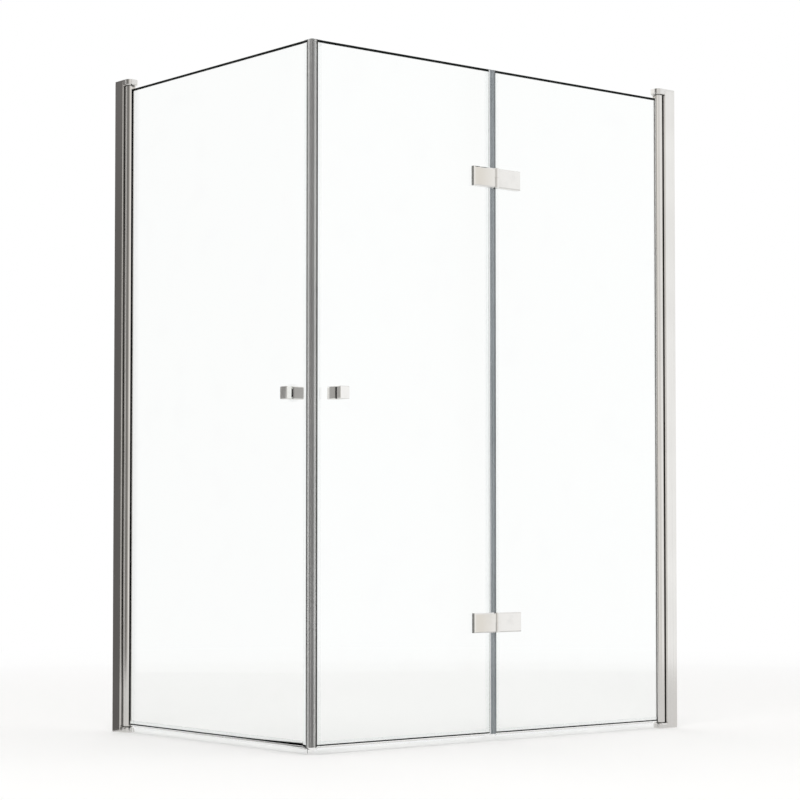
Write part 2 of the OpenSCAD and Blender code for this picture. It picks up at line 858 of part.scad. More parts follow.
module door_knob_outer() { on_front() knob_outer(); }
module door_knob_inner() { on_front() knob_inner(); }
module door_knob_stud() { on_front() knob_stud(); }
module door_knob_washers() { on_front() knob_washers(); }

front_wall_profile();
front_adjusting_profile();
front_profile_seal();
front_top_cap();
front_bottom_cap();
front_pivot_pins();
front_lock_screws();
side_wall_profile();
side_adjusting_profile();
side_profile_seal();
side_top_cap();
side_bottom_cap();
side_pivot_pins();
side_lock_screws();
side_pivot_tube();
side_pivot_bushes();
side_glass_gasket();
side_glass();
side_bottom_seal();
side_corner_seal();
side_corner_magnet();
side_knob_outer();
side_knob_inner();
side_knob_stud();
side_knob_washers();
front_pivot_tube();
front_pivot_bushes();
front_glass_gasket();
wall_leaf_glass();
wall_leaf_bottom_seal();
wall_leaf_fold_seal();
upper_hinge_wall_plate();
lower_hinge_wall_plate();
upper_hinge_wall_backing();
lower_hinge_wall_backing();
wall_leaf_hinge_pads();
wall_leaf_hinge_screws();
hinge_pins();
door_glass();
door_bottom_seal();
door_fold_seal();
door_corner_seal();
door_corner_magnet();
upper_hinge_door_plate();
lower_hinge_door_plate();
upper_hinge_door_backing();
lower_hinge_door_backing();
door_hinge_pads();
door_hinge_screws();
hinge_bushes();
door_knob_outer();
door_knob_inner();
door_knob_stud();
door_knob_washers();
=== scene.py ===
"""Looks of a corner bath screen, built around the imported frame.

Sizes are in millimetres in the leaf frame: u runs along the glass from the free
corner to the wall, v into the bath, z up from the rim. The front's pieces are
modelled first. The side's are copies of them, mirrored across the corner.
"""

import logging
import math
from collections.abc import Callable, Mapping, Sequence
from dataclasses import dataclass
from enum import Enum
from typing import Any, Self

import bmesh
import bpy
from mathutils import Matrix, Vector

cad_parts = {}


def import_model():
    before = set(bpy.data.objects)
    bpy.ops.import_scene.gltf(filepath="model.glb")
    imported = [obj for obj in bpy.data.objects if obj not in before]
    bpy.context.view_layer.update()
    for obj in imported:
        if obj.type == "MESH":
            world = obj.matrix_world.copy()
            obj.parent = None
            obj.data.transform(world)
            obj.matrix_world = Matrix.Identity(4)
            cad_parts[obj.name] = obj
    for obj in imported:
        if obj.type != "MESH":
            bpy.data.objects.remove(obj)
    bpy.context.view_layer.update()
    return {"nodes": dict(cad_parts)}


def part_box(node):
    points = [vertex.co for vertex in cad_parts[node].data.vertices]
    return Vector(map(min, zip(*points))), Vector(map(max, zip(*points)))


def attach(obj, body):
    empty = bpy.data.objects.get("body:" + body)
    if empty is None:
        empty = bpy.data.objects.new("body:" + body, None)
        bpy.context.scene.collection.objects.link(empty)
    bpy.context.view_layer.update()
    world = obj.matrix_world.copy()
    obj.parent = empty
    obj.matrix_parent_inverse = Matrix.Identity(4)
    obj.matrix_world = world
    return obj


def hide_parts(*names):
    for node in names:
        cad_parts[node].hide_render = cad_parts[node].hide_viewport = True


LOG = logging.getLogger("bath_screen")
MM = 0.001
UPRIGHT = 0.99  # least part of a direction that counts as along an axis
LEVEL = 0.1  # most part of a direction that counts as across an axis
NEAR = 0.1  # a face or edge this near to a place lies at it
ROOM = 1.0  # how far cutting solids reach past what they cut, and loose tests allow
HAIR = 0.001  # the thinnest step that still makes a face of its own
STAND = (math.pi / 2, 0.0, 0.0)  # the turn that stands a level plane up
# How many sides stand for a round: a hexagon socket, screw holes, bores, bars, wide bars, the tube
HEXAGON, HOLE, BORE, BAR, WIDE, TUBE = 6, 32, 40, 48, 64, 96
HINGE_ZS = (242.0, 1154.0)
DOOR_SCREWS = (422.9, 445.9)
LEAF_SCREWS = (484.5, 507.5)
KNOB_AT = (70.0, 697.0)

Triple = tuple[float, float, float]
Colour = tuple[float, float, float, float]
Pick = Callable[[Vector, Vector], bool]
Test = Callable[[Vector], bool]


class Axis(Enum):
    """The way a round bar lies: its direction, and the turn of an upright one."""

    ALONG = ((1, 0, 0), (0.0, math.pi / 2, 0.0))
    ACROSS = ((0, 1, 0), STAND)
    UP = ((0, 0, 1), (0.0, 0.0, 0.0))


class Side(Enum):
    """The two sides of the screen."""

    FRONT = "front"
    SIDE = "side"


class Level(Enum):
    """What a tool works on."""

    FACE = "FACE"
    EDGE = "EDGE"


class Joining(Enum):
    """What one solid does to another."""

    CUT = "DIFFERENCE"
    WELD = "UNION"


class Body(Enum):
    """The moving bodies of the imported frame."""

    FIXINGS = "wall_fixings"
    SIDE_LEAF = "side_leaf"
    WALL_LEAF = "wall_leaf"
    DOOR_LEAF = "door_leaf"


class Slot(Enum):
    """The record's material slots."""

    ALUMINIUM = "polished_aluminium"
    CHROME = "chrome"
    GLASS = "glass"
    VINYL = "clear_vinyl"
    MAGNET = "magnet_strip"
    RUBBER = "dark_rubber"
    STEEL = "stainless_steel"
    NYLON = "white_nylon"


# Nodes and finishes


class Signal:
    """A shader value that takes part in Python sums."""

    def __init__(self, desk: "NodeDesk", socket: bpy.types.NodeSocket) -> None:
        """Wraps one output socket of a node on a desk."""
        self.desk = desk
        self.socket = socket

    def sum(self, operation: str, first: Any, second: Any) -> "Signal":
        """Adds one Math node."""
        return self.desk.signal("ShaderNodeMath", {0: first, 1: second}, operation=operation)

    def __add__(self, other: Any) -> "Signal":
        """Sum of both."""
        return self.sum("ADD", self, other)

    def __radd__(self, other: Any) -> "Signal":
        """Sum of both, number first."""
        return self.sum("ADD", other, self)

    def __sub__(self, other: Any) -> "Signal":
        """Difference of both."""
        return self.sum("SUBTRACT", self, other)

    def __mul__(self, other: Any) -> "Signal":
        """Product of both."""
        return self.sum("MULTIPLY", self, other)

    def __truediv__(self, other: Any) -> "Signal":
        """Quotient of both."""
        return self.sum("DIVIDE", self, other)

    def at_most(self, other: Any) -> "Signal":
        """The smaller of both."""
        return self.sum("MINIMUM", self, other)

    def step(self, low: float, high: float) -> "Signal":
        """Rises smoothly from 0 to 1 between two levels."""
        levels = {"Value": self, "From Min": low, "From Max": high}
        return self.desk.signal("ShaderNodeMapRange", levels, interpolation_type="SMOOTHSTEP")


class NodeDesk:
    """Lays out and wires the nodes of one material or world."""

    def __init__(self, tree: bpy.types.NodeTree) -> None:
        """Clears a node tree, to lay its nodes out anew."""
        self.tree = tree
        tree.nodes.clear()

    def node(self, kind: str, sockets: Mapping[Any, Any] | None = None, **settings: Any) -> Any:
        """Adds one node.

        Args:
            kind: The node's type.
            sockets: Values or signals of its inputs, by name or number.
            settings: Its own settings.

        Returns:
            The node, wired.
        """
        made = self.tree.nodes.new(kind)
        for name, value in settings.items():
            setattr(made, name, value)
        for key, value in (sockets or {}).items():
            if isinstance(value, Signal):
                self.tree.links.new(value.socket, made.inputs[key])
            else:
                made.inputs[key].default_value = value
        return made

    def signal(
        self, kind: str, sockets: Mapping[Any, Any] | None = None, output: Any = 0, **settings: Any
    ) -> Signal:
        """Adds one node and gives one of its outputs, by name or number."""
        return Signal(self, self.node(kind, sockets, **settings).outputs[output])

    def place(self) -> Signal:
        """The piece's own coordinates."""
        return self.signal("ShaderNodeTexCoord", output="Object")

    def ray(self, name: str) -> Signal:
        """One fact of the ray that sees the surface."""
        return self.signal("ShaderNodeLightPath", output=name)

    def noise(self, across: float, along: float, detail: float) -> Signal:
        """A cloudy pattern, about 0 to 1, with so many features per metre across z and along it."""
        mapping = {"Vector": self.place(), "Scale": (across, across, along)}
        mapped = self.signal("ShaderNodeMapping", mapping)
        return self.signal("ShaderNodeTexNoise", {"Vector": mapped, "Scale": 1.0, "Detail": detail})

    def tint(self, share: Signal, first: Any, second: Any) -> Signal:
        """A colour between two others, the first at share 0."""
        return self.signal("ShaderNodeMix", {0: share, 6: first, 7: second}, 2, data_type="RGBA")

    def glow(self, tone: Any, strength: Any) -> Signal:
        """A plain light of one colour."""
        return self.signal("ShaderNodeEmission", {"Color": tone, "Strength": strength})

    def blend(self, share: Signal, first: Signal, second: Signal) -> Signal:
        """A surface between two others, the first at share 0."""
        return self.signal("ShaderNodeMixShader", {0: share, 1: first, 2: second})

    def ramp(self, share: Signal, stops: Sequence[tuple[float, Colour]]) -> Signal:
        """A colour that runs through several stops.

        Args:
            share: Where on the ramp it is, from 0 to 1.
            stops: Place and colour of each stop, in rising order.

        Returns:
            The colour.
        """
        made = self.node("ShaderNodeValToRGB", {0: share})
        elements = made.color_ramp.elements
        for _ in stops[2:]:
            elements.new(0.5)
        for element, (place, tone) in zip(elements, stops):
            element.position = place
            element.color = tone
        return Signal(self, made.outputs[0])


def shade(red: float, green: float, blue: float) -> Colour:
    """A full colour from its three linear parts."""
    return (red, green, blue, 1.0)


WHITE = shade(1.0, 1.0, 1.0)


@dataclass(frozen=True)
class Finish:
    """A surface finish that can be put on any piece."""

    title: str

    def material(self) -> bpy.types.Material:
        """Makes the finish, or finds it when it is already made.

        Returns:
            The material.
        """
        made = bpy.data.materials.get(self.title)
        if made is None:
            made = bpy.data.materials.new(self.title)
            made.use_nodes = True
            desk = NodeDesk(made.node_tree)
            desk.node("ShaderNodeOutputMaterial", {"Surface": self.wire(desk)})
        return made

    def wire(self, desk: NodeDesk) -> Signal:
        """Lays out the finish's nodes on a desk and gives the surface."""
        raise NotImplementedError


@dataclass(frozen=True)
class Surface(Finish):
    """A surface that a fine grain and a slower cloud tint, dull and roughen.

    Grain and cloud are stated as features per metre across z and along it, and
    detail. The cloud may be left out. Roughness is stated plain, then what the
    pattern and the grain add to it. Relief is depth in metres and strength.
    """

    plain: Colour = WHITE
    marked: Colour = WHITE
    grain: Triple = (1000.0, 1000.0, 2.0)
    cloud: tuple = ()
    grain_share: float = 0.0
    levels: tuple = (0.3, 0.7)
    contrast: float = 1.0
    roughness: Triple = (0.5, 0.0, 0.0)
    relief: tuple = (0.00001, 0.4)
    stepped_relief: bool = False
    metallic: float = 0.0
    specular: float = 0.5
    ior: float = 1.5
    clearness: float = 0.0

    def wire(self, desk: NodeDesk) -> Signal:
        """Lays out grain, cloud and the surface that they mark.

        Args:
            desk: The desk to lay them on.

        Returns:
            The surface.
        """
        grain = pattern = desk.noise(*self.grain)
        if self.cloud:
            pattern = grain * self.grain_share + desk.noise(*self.cloud) * (1.0 - self.grain_share)
        pattern = pattern.step(*self.levels)
        plain, by_pattern, by_grain = self.roughness
        depth, strength = self.relief
        height = pattern if self.stepped_relief else grain
        bump = {"Height": height, "Distance": depth, "Strength": strength}
        return desk.signal("ShaderNodeBsdfPrincipled", {
            "Base Color": desk.tint(pattern * self.contrast, self.plain, self.marked),
            "Metallic": self.metallic,
            "Roughness": plain + pattern * by_pattern + grain * by_grain,
            "IOR": self.ior,
            "Specular IOR Level": self.specular,
            "Transmission Weight": self.clearness,
            "Normal": desk.signal("ShaderNodeBump", bump),
        })


@dataclass(frozen=True)
class DrawnMetal(Surface):
    """Polished aluminium with the fine lines that the press leaves along it."""

    plain: Colour = shade(0.87, 0.86, 0.845)
    marked: Colour = shade(0.77, 0.76, 0.745)
    grain: Triple = (1400.0, 1.5, 3.0)
    cloud: tuple = (9.0, 9.0, 4.0)
    grain_share: float = 0.6
    levels: tuple = (0.25, 0.8)
    roughness: Triple = (0.10, 0.09, 0.0)
    relief: tuple = (0.000012, 0.35)
    metallic: float = 1.0


@dataclass(frozen=True)
class Plated(Surface):
    """Bright chrome with faint polishing swirls and wiped-off marks."""

    plain: Colour = shade(0.93, 0.925, 0.915)
    marked: Colour = shade(0.84, 0.835, 0.83)
    grain: Triple = (260.0, 260.0, 5.0)
    cloud: tuple = (45.0, 45.0, 3.0)
    levels: tuple = (0.5, 0.8)
    contrast: float = 0.45
    roughness: Triple = (0.035, 0.02, 0.02)
    relief: tuple = (0.00001, 0.25)
    metallic: float = 1.0


@dataclass(frozen=True)
class TurnedSteel(Surface):
    """Stainless steel with a fine turned grain."""

    plain: Colour = shade(0.66, 0.655, 0.645)
    marked: Colour = shade(0.50, 0.495, 0.485)
    grain: Triple = (2400.0, 2400.0, 2.0)
    roughness: Triple = (0.2, 0.0, 0.16)
    metallic: float = 1.0


@dataclass(frozen=True)
class ClearGlass(Surface):
    """Toughened glass with its faint roller wave and wiped-off film."""

    plain: Colour = shade(0.985, 0.997, 0.992)
    marked: Colour = shade(0.975, 0.985, 0.982)
    grain: Triple = (5.0, 1.2, 1.0)
    cloud: tuple = (14.0, 14.0, 4.0)
    levels: tuple = (0.5, 0.8)
    roughness: Triple = (0.0, 0.02, 0.0)
    relief: tuple = (0.0006, 0.2)
    clearness: float = 1.0


@dataclass(frozen=True)
class PaintedEdgeShade(Surface):
    """Painted shade: near-black, dark green-black, on the glass's seamed edges and a band of the
    faces beside them, for the dark line that the edge shows against the light.
    """

    plain: Colour = shade(0.003, 0.004, 0.004)
    marked: Colour = shade(0.012, 0.017, 0.015)
    grain: Triple = (900.0, 900.0, 3.0)
    levels: tuple = (0.35, 0.75)
    roughness: Triple = (0.35, 0.0, 0.3)
    relief: tuple = (0.00003, 0.5)
    specular: float = 0.06


@dataclass(frozen=True)
class SoftVinyl(Surface):
    """Vinyl of the seals, drawn out lengthwise: a smoky core or a clear lip."""

    plain: Colour = shade(0.27, 0.30, 0.32)
    marked: Colour = shade(0.12, 0.14, 0.152)
    grain: Triple = (1100.0, 2.0, 2.0)
    cloud: tuple = (18.0, 6.0, 3.0)
    grain_share: float = 0.65
    levels: tuple = (0.3, 0.72)
    roughness: Triple = (0.16, 0.16, 0.0)
    relief: tuple = (0.00002, 0.3)
    ior: float = 1.47
    clearness: float = 0.4


@dataclass(frozen=True)
class DullRubber(Surface):
    """Dark rubber of gaskets, pads and washers, with a little grey bloom."""

    plain: Colour = shade(0.010, 0.010, 0.011)
    marked: Colour = shade(0.020, 0.0195, 0.019)
    grain: Triple = (1800.0, 1800.0, 2.0)
    cloud: tuple = (60.0, 20.0, 4.0)
    levels: tuple = (0.4, 0.8)
    roughness: Triple = (0.55, 0.0, 0.25)
    relief: tuple = (0.00004, 0.5)
    specular: float = 0.2


@dataclass(frozen=True)
class MagnetBand(Surface):
    """Bonded magnet strip: grey, slightly speckled."""

    plain: Colour = shade(0.30, 0.30, 0.302)
    marked: Colour = shade(0.42, 0.42, 0.425)
    grain: Triple = (2600.0, 2600.0, 2.0)
    levels: tuple = (0.5, 0.75)
    roughness: Triple = (0.55, -0.2, 0.0)
    relief: tuple = (0.00003, 0.4)
    stepped_relief: bool = True


@dataclass(frozen=True)
class WhiteNylon(Surface):
    """White moulded nylon of the bearing bushes."""

    plain: Colour = shade(0.82, 0.81, 0.79)
    marked: Colour = shade(0.70, 0.69, 0.665)
    grain: Triple = (700.0, 700.0, 3.0)
    levels: tuple = (0.35, 0.7)
    roughness: Triple = (0.38, 0.0, 0.12)
    relief: tuple = (0.00002, 0.4)


FINISHES: dict[Slot, Finish] = {
    Slot.ALUMINIUM: DrawnMetal("drawn_aluminium"),
    Slot.CHROME: Plated("bright_chrome"),
    Slot.GLASS: ClearGlass("toughened_glass"),
    Slot.VINYL: SoftVinyl("clear_seal_vinyl"),
    Slot.MAGNET: MagnetBand("bonded_magnet"),
    Slot.RUBBER: DullRubber("gasket_rubber"),
    Slot.STEEL: TurnedSteel("turned_stainless"),
    Slot.NYLON: WhiteNylon("moulded_nylon"),
}
# Painted shade: the dark line that the glass edges show.
GLASS_EDGE_SHADE = PaintedEdgeShade("glass_edge_painted_shade")
PAD_RUBBER = DullRubber("pad_rubber", shade(0.085, 0.085, 0.083), shade(0.13, 0.129, 0.126))
SATIN_CAP = Plated(
    "satin_cap_metal",
    shade(0.80, 0.795, 0.785),
    shade(0.70, 0.695, 0.685),
    grain=(420.0, 420.0, 5.0),
    cloud=(60.0, 60.0, 3.0),
    roughness=(0.2, 0.02, 0.02),
)
CLEAR_LIP, CORNER_CORE, SEAL_SHADE_LINE, LIT_GASKET = (
    SoftVinyl(
        title, shade(*plain), shade(*marked), (streaks, 2.0, 2.0),
        roughness=(haze, haze, 0.0), ior=ior, clearness=clearness,
    )
    for title, plain, marked, streaks, haze, ior, clearness in (
        ("clear_lip_vinyl", (0.985, 0.99, 0.99), (0.95, 0.96, 0.96), 500.0, 0.02, 1.16, 1.0),
        ("corner_seal_vinyl", (0.42, 0.42, 0.41), (0.32, 0.32, 0.315), 900.0, 0.05, 1.3, 0.5),
        # painted shade: a near-black strip for the dark line at the corner seal's edge
        ("seal_painted_shade_vinyl", (0.05, 0.05, 0.049), (0.03, 0.03, 0.029), 900.0, 0.1, 1.47, 0.1),
        # painted light: a pale copy of the gasket, for the front one where it looks lit
        ("gasket_painted_light_vinyl", (0.90, 0.89, 0.87), (0.80, 0.79, 0.77), 900.0, 0.12, 1.47, 0.1),
    )
)


# The bench


def metres(sizes: Sequence[float]) -> Vector:
    """Millimetres to metres."""
    return Vector([size * MM for size in sizes])


def along(axis: int, size: float = 1.0) -> list[float]:
    """A step along axis 0, 1 or 2, which stand for u, v and z."""
    return [size if number == axis else 0.0 for number in range(3)]


def facing(axis: int, test: Test | None = None, way: int = 1) -> Pick:
    """Picks the faces that look along an axis, or against it, and pass a test of their middle."""
    return lambda at, normal: normal[axis] * way > UPRIGHT and (test is None or test(at))


def edges_along(axis: int, test: Test | None = None) -> Pick:
    """Picks the edges that run along one axis and pass a test of their middle."""
    return lambda at, way: abs(way[axis]) > UPRIGHT and (test is None or test(at))


def edges_across(axis: int, test: Test | None = None) -> Pick:
    """Picks the edges that run across one axis and pass a test of their middle."""
    return lambda at, way: abs(way[axis]) < LEVEL and (test is None or test(at))


@dataclass(frozen=True)
class Place:
    """One place on the screen, with the CAD node that stands there."""

    node: str
    body: Body
    side: Side = Side.FRONT
    shift: Triple = (0.0, 0.0, 0.0)


class Workpiece:
    """One mesh on the bench, shaped with Blender's own tools."""

    corner = Vector((0.0, 0.0, 0.0))
    walls: Mapping[Side, float] = {}

    def __init__(self, item: bpy.types.Object, name: str) -> None:
        """Takes an object on the bench under a name."""
        self.item = item
        self.rename(name)

    def rename(self, name: str) -> Self:
        """Names the object and its mesh."""
        self.item.name = self.item.data.name = name
        return self

    @classmethod
    def add(
        cls, name: str, make: Callable, scale: Sequence[float] = (1.0, 1.0, 1.0), **options: Any
    ) -> Self:
        """Adds a primitive and puts its placing into its mesh.

        Args:
            name: The piece's name.
            make: The primitive's operator.
            scale: How many times as large it gets along its own axes.
            options: The operator's settings.

        Returns:
            The piece.
        """
        bpy.ops.object.select_all(action="DESELECT")
        make(**options)
        piece = cls(bpy.context.object, name)
        piece.item.scale = scale
        return piece.run(bpy.ops.object.transform_apply)

    def run(self, tool: Callable, *others: "Workpiece", **options: Any) -> Self:
        """Runs a tool with nothing selected but this piece, active, and others.

        Args:
            tool: The tool's operator.
            others: The other pieces.
            options: The tool's settings.

        Returns:
            The piece.
        """
        bpy.ops.object.select_all(action="DESELECT")
        for piece in (self, *others):
            piece.item.select_set(True)
        bpy.context.view_layer.objects.active = self.item
        tool(**options)
        return self

    @classmethod
    def block(cls, name: str, low: Triple, high: Triple) -> Self:
        """Starts from a square block between two corners."""
        size, middle = metres(high) - metres(low), (metres(low) + metres(high)) / 2
        return cls.add(name, bpy.ops.mesh.primitive_cube_add, size, size=1.0, location=middle)

    @classmethod
    def rod(
        cls, name: str, start: Triple, radius: float, length: float, way: Axis, sides: int = BAR
    ) -> Self:
        """Starts from a round bar.

        Args:
            name: The piece's name.
            start: The middle of its end face at the lower coordinate.
            radius: Its radius.
            length: Its length.
            way: The axis it lies along.
            sides: How many sides stand for the round.

        Returns:
            The bar.
        """
        reach, turn = way.value
        return cls.add(
            name,
            bpy.ops.mesh.primitive_cylinder_add,
            vertices=sides,
            radius=radius * MM,
            depth=length * MM,
            location=metres(start) + Vector(reach) * length * MM / 2,
            rotation=turn,
        )

    def edit(self, level: Level, pick: Pick | None, tool: Callable, **options: Any) -> Self:
        """Runs a mesh tool on faces or edges that are selected by their place.

        Args:
            level: Faces or edges.
            pick: Says from the middle in millimetres, and from the normal or the
                edge's direction, what is selected. None selects all.
            tool: The tool's operator.
            options: The tool's settings.

        Returns:
            The piece.
        """
        self.run(bpy.ops.object.mode_set, mode="EDIT")
        bpy.ops.mesh.select_mode(type=level.value)
        bpy.ops.mesh.select_all(action="SELECT" if pick is None else "DESELECT")
        if pick is not None:
            shape = bmesh.from_edit_mesh(self.item.data)
            if level is Level.FACE:
                for face in shape.faces:
                    face.select_set(pick(face.calc_center_median() / MM, face.normal))
            else:
                for edge in shape.edges:
                    first, last = (vert.co for vert in edge.verts)
                    edge.select_set(pick((first + last) / 2 / MM, (last - first).normalized()))
            bmesh.update_edit_mesh(self.item.data)
        tool(**options)
        bpy.ops.object.mode_set(mode="OBJECT")
        return self

    def bevel(self, pick: Pick | None, width: float, segments: int = 1) -> Self:
        """Bevels edges flat, or rounds them with more segments."""
        size = {"offset": width * MM, "segments": segments}
        return self.edit(Level.EDGE, pick, bpy.ops.mesh.bevel, affect="EDGES", **size)

    def extrude(self, pick: Pick, shift: Triple) -> Self:
        """Draws faces out by a shift."""
        draw = {"TRANSFORM_OT_translate": {"value": metres(shift)}}
        return self.edit(Level.FACE, pick, bpy.ops.mesh.extrude_region_move, **draw)

    def resize(self, pick: Pick, factors: Triple, centre: Triple) -> Self:
        """Widens or narrows faces by factors along u, v and z about a point."""
        about = {"value": factors, "center_override": metres(centre)}
        return self.edit(Level.FACE, pick, bpy.ops.transform.resize, **about)

    def bisect(self, point: Triple, normal: Triple, cut_off: bool = True) -> Self:
        """Cuts the piece with a plane and takes off what lies beyond it, or keeps both parts."""
        plane = {"plane_co": metres(point), "plane_no": normal}
        ends = {"clear_outer": cut_off, "use_fill": cut_off}
        return self.edit(Level.FACE, None, bpy.ops.mesh.bisect, **plane, **ends)

    def split(self, axis: int, *places: float) -> Self:
        """Divides the faces by planes across one axis.

        Args:
            axis: 0, 1 or 2 for u, v or z.
            places: Where the planes stand on it.

        Returns:
            The piece.
        """
        for place in places:
            self.bisect(along(axis, place), along(axis), cut_off=False)
        return self

    def modify(self, kind: str, **settings: Any) -> Self:
        """Puts a modifier's work into the mesh.

        Args:
            kind: The modifier's type.
            settings: Its settings.

        Returns:
            The piece.
        """
        tool = self.item.modifiers.new(kind.lower(), kind)
        for name, value in settings.items():
            setattr(tool, name, value)
        return self.run(bpy.ops.object.modifier_apply, modifier=tool.name)

    def discard(self) -> None:
        """Takes a used piece and its mesh off the bench."""
        used = self.item.data
        bpy.data.objects.remove(self.item)
        bpy.data.meshes.remove(used)

    def combine(self, how: Joining, *others: "Workpiece") -> Self:
        """Cuts other solids out of this one or welds them on, and uses them up.

        Args:
            how: Cut or weld.
            others: The other solids.

        Returns:
            The piece.
        """
        for other in others:
            self.modify("BOOLEAN", operation=how.value, solver="EXACT", object=other.item)
            other.discard()
        return self

    def cut(self, *others: "Workpiece") -> Self:
        """Cuts other solids out."""
        return self.combine(Joining.CUT, *others)

    def weld(self, *others: "Workpiece") -> Self:
        """Welds other solids on."""
        return self.combine(Joining.WELD, *others)

    def drill(
        self, start: Triple, radius: float, length: float, way: Axis, sides: int = BORE
    ) -> Self:
        """Cuts out a round bar."""
        return self.cut(Workpiece.rod("drill", start, radius, length, way, sides))

    def soften(self, width: float, segments: int = 2, angle: float = 40.0) -> Self:
        """Takes the sharpness off the edges that turn by more than an angle in degrees."""
        limit = {"limit_method": "ANGLE", "angle_limit": math.radians(angle)}
        return self.modify("BEVEL", width=width * MM, segments=segments, **limit)

    def copy(self, name: str) -> Self:
        """Copies the piece with a mesh of its own."""
        self.run(bpy.ops.object.duplicate, linked=False)
        return type(self)(bpy.context.object, name)

    def gather(self, *others: "Workpiece") -> Self:
        """Makes one object of this piece and others, as loose shells."""
        return self.run(bpy.ops.object.join, *others)

    def repeat(self, *shifts: Triple) -> Self:
        """Makes one object of moved copies, and uses the piece up.

        Args:
            shifts: How far each copy is moved.

        Returns:
            The copies as one piece.
        """
        first, *others = [self.copy("repeat").move(shift) for shift in shifts]
        self.discard()
        return first.gather(*others)

    def apply(self, matrix: Matrix) -> Self:
        """Puts a placing into the mesh, and turns the faces out if it mirrors.

        Args:
            matrix: The placing.

        Returns:
            The piece.
        """
        self.item.matrix_world = matrix
        self.run(bpy.ops.object.transform_apply)
        if matrix.determinant() < 0:
            self.edit(Level.FACE, None, bpy.ops.mesh.normals_make_consistent, inside=False)
        return self

    def move(self, shift: Triple) -> Self:
        """Moves the piece in the leaf frame."""
        return self.apply(Matrix.Translation(metres(shift)))

    def mirror(self, axis: int, about: float = 0.0) -> Self:
        """Mirrors the piece along one axis, about one place on it."""
        way = Matrix.Scale(-1, 4, along(axis))
        return self.apply(Matrix.Translation(metres(along(axis, 2 * about))) @ way)

    def onto(self, side: Side) -> Self:
        """Puts the piece from the leaf frame on its side, which mirrors the front for the side."""
        turned = Matrix(((0, 1, 0, 0), (1, 0, 0, 0), (0, 0, 1, 0), (0, 0, 0, 1)))
        place = Matrix.Translation(self.corner)
        return self.apply(place @ turned if side is Side.SIDE else place)

    def dress(self, finish: Finish, angle: float = 30.0, even: bool = True) -> Self:
        """Shades the piece and gives it a finish.

        Args:
            finish: The finish.
            angle: Edges sharper than this stay sharp, in degrees.
            even: Whether broad faces stay flat beside softened edges.

        Returns:
            The piece.
        """
        self.run(bpy.ops.object.shade_smooth_by_angle, angle=math.radians(angle))
        if even:
            self.modify("WEIGHTED_NORMAL", keep_sharp=True)
        self.item.data.materials.clear()
        self.item.data.materials.append(finish.material())
        return self

    def paint(self, finish: Finish, pick: Pick) -> Self:
        """Gives some faces a finish of their own.

        Args:
            finish: The finish.
            pick: Which faces.

        Returns:
            The piece.
        """
        self.item.data.materials.append(finish.material())
        self.item.active_material_index = len(self.item.data.materials) - 1
        return self.edit(Level.FACE, pick, bpy.ops.object.material_slot_assign)

    def fit(self, node: str, body: Body, slot: Slot) -> None:
        """Hangs the piece on its body in place of the CAD node it stands for.

        Args:
            node: The CAD node that it replaces.
            body: The body that it moves with.
            slot: The record's material slot; not used.
        """
        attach(self.item, body.value)
        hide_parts(node)
        LOG.info("%s: %d faces on %s", self.item.name, len(self.item.data.polygons), body.value)

    def install(
        self, slot: Slot, places: Sequence[Place], finish: Finish | None = None, **look: Any
    ) -> None:
        """Fits a dressed copy at each of its places, and uses the pattern up.

        Args:
            slot: The record's material slot.
            places: The places.
            finish: Its finish, where it isn't the slot's usual one.
            look: Further settings of its dressing.
        """
        for place in places:
            twin = self.copy(f"{place.node}_shaped").move(place.shift).onto(place.side)
            twin.dress(finish or FINISHES[slot], **look).fit(place.node, place.body, slot)
        self.discard()


def at_walls(node: str, bodies: Mapping[Side, Body], setback: float = 0.0) -> list[Place]:
    """The places of a piece that stands at both walls, so far from each.

    Args:
        node: The CAD nodes' name without its side.
        bodies: The body that it moves with on each side.
        setback: How far it stands from the wall plane.

    Returns:
        The places.
    """
    return [
        Place(f"{side.value}_{node}", bodies[side], side, (wall - setback, 0, 0))
        for side, wall in Workpiece.walls.items()
    ]


# Sub-assemblies. Their roundings and softenings are stated as the size, the number of strips and,
# where it isn't the usual one, the least angle.


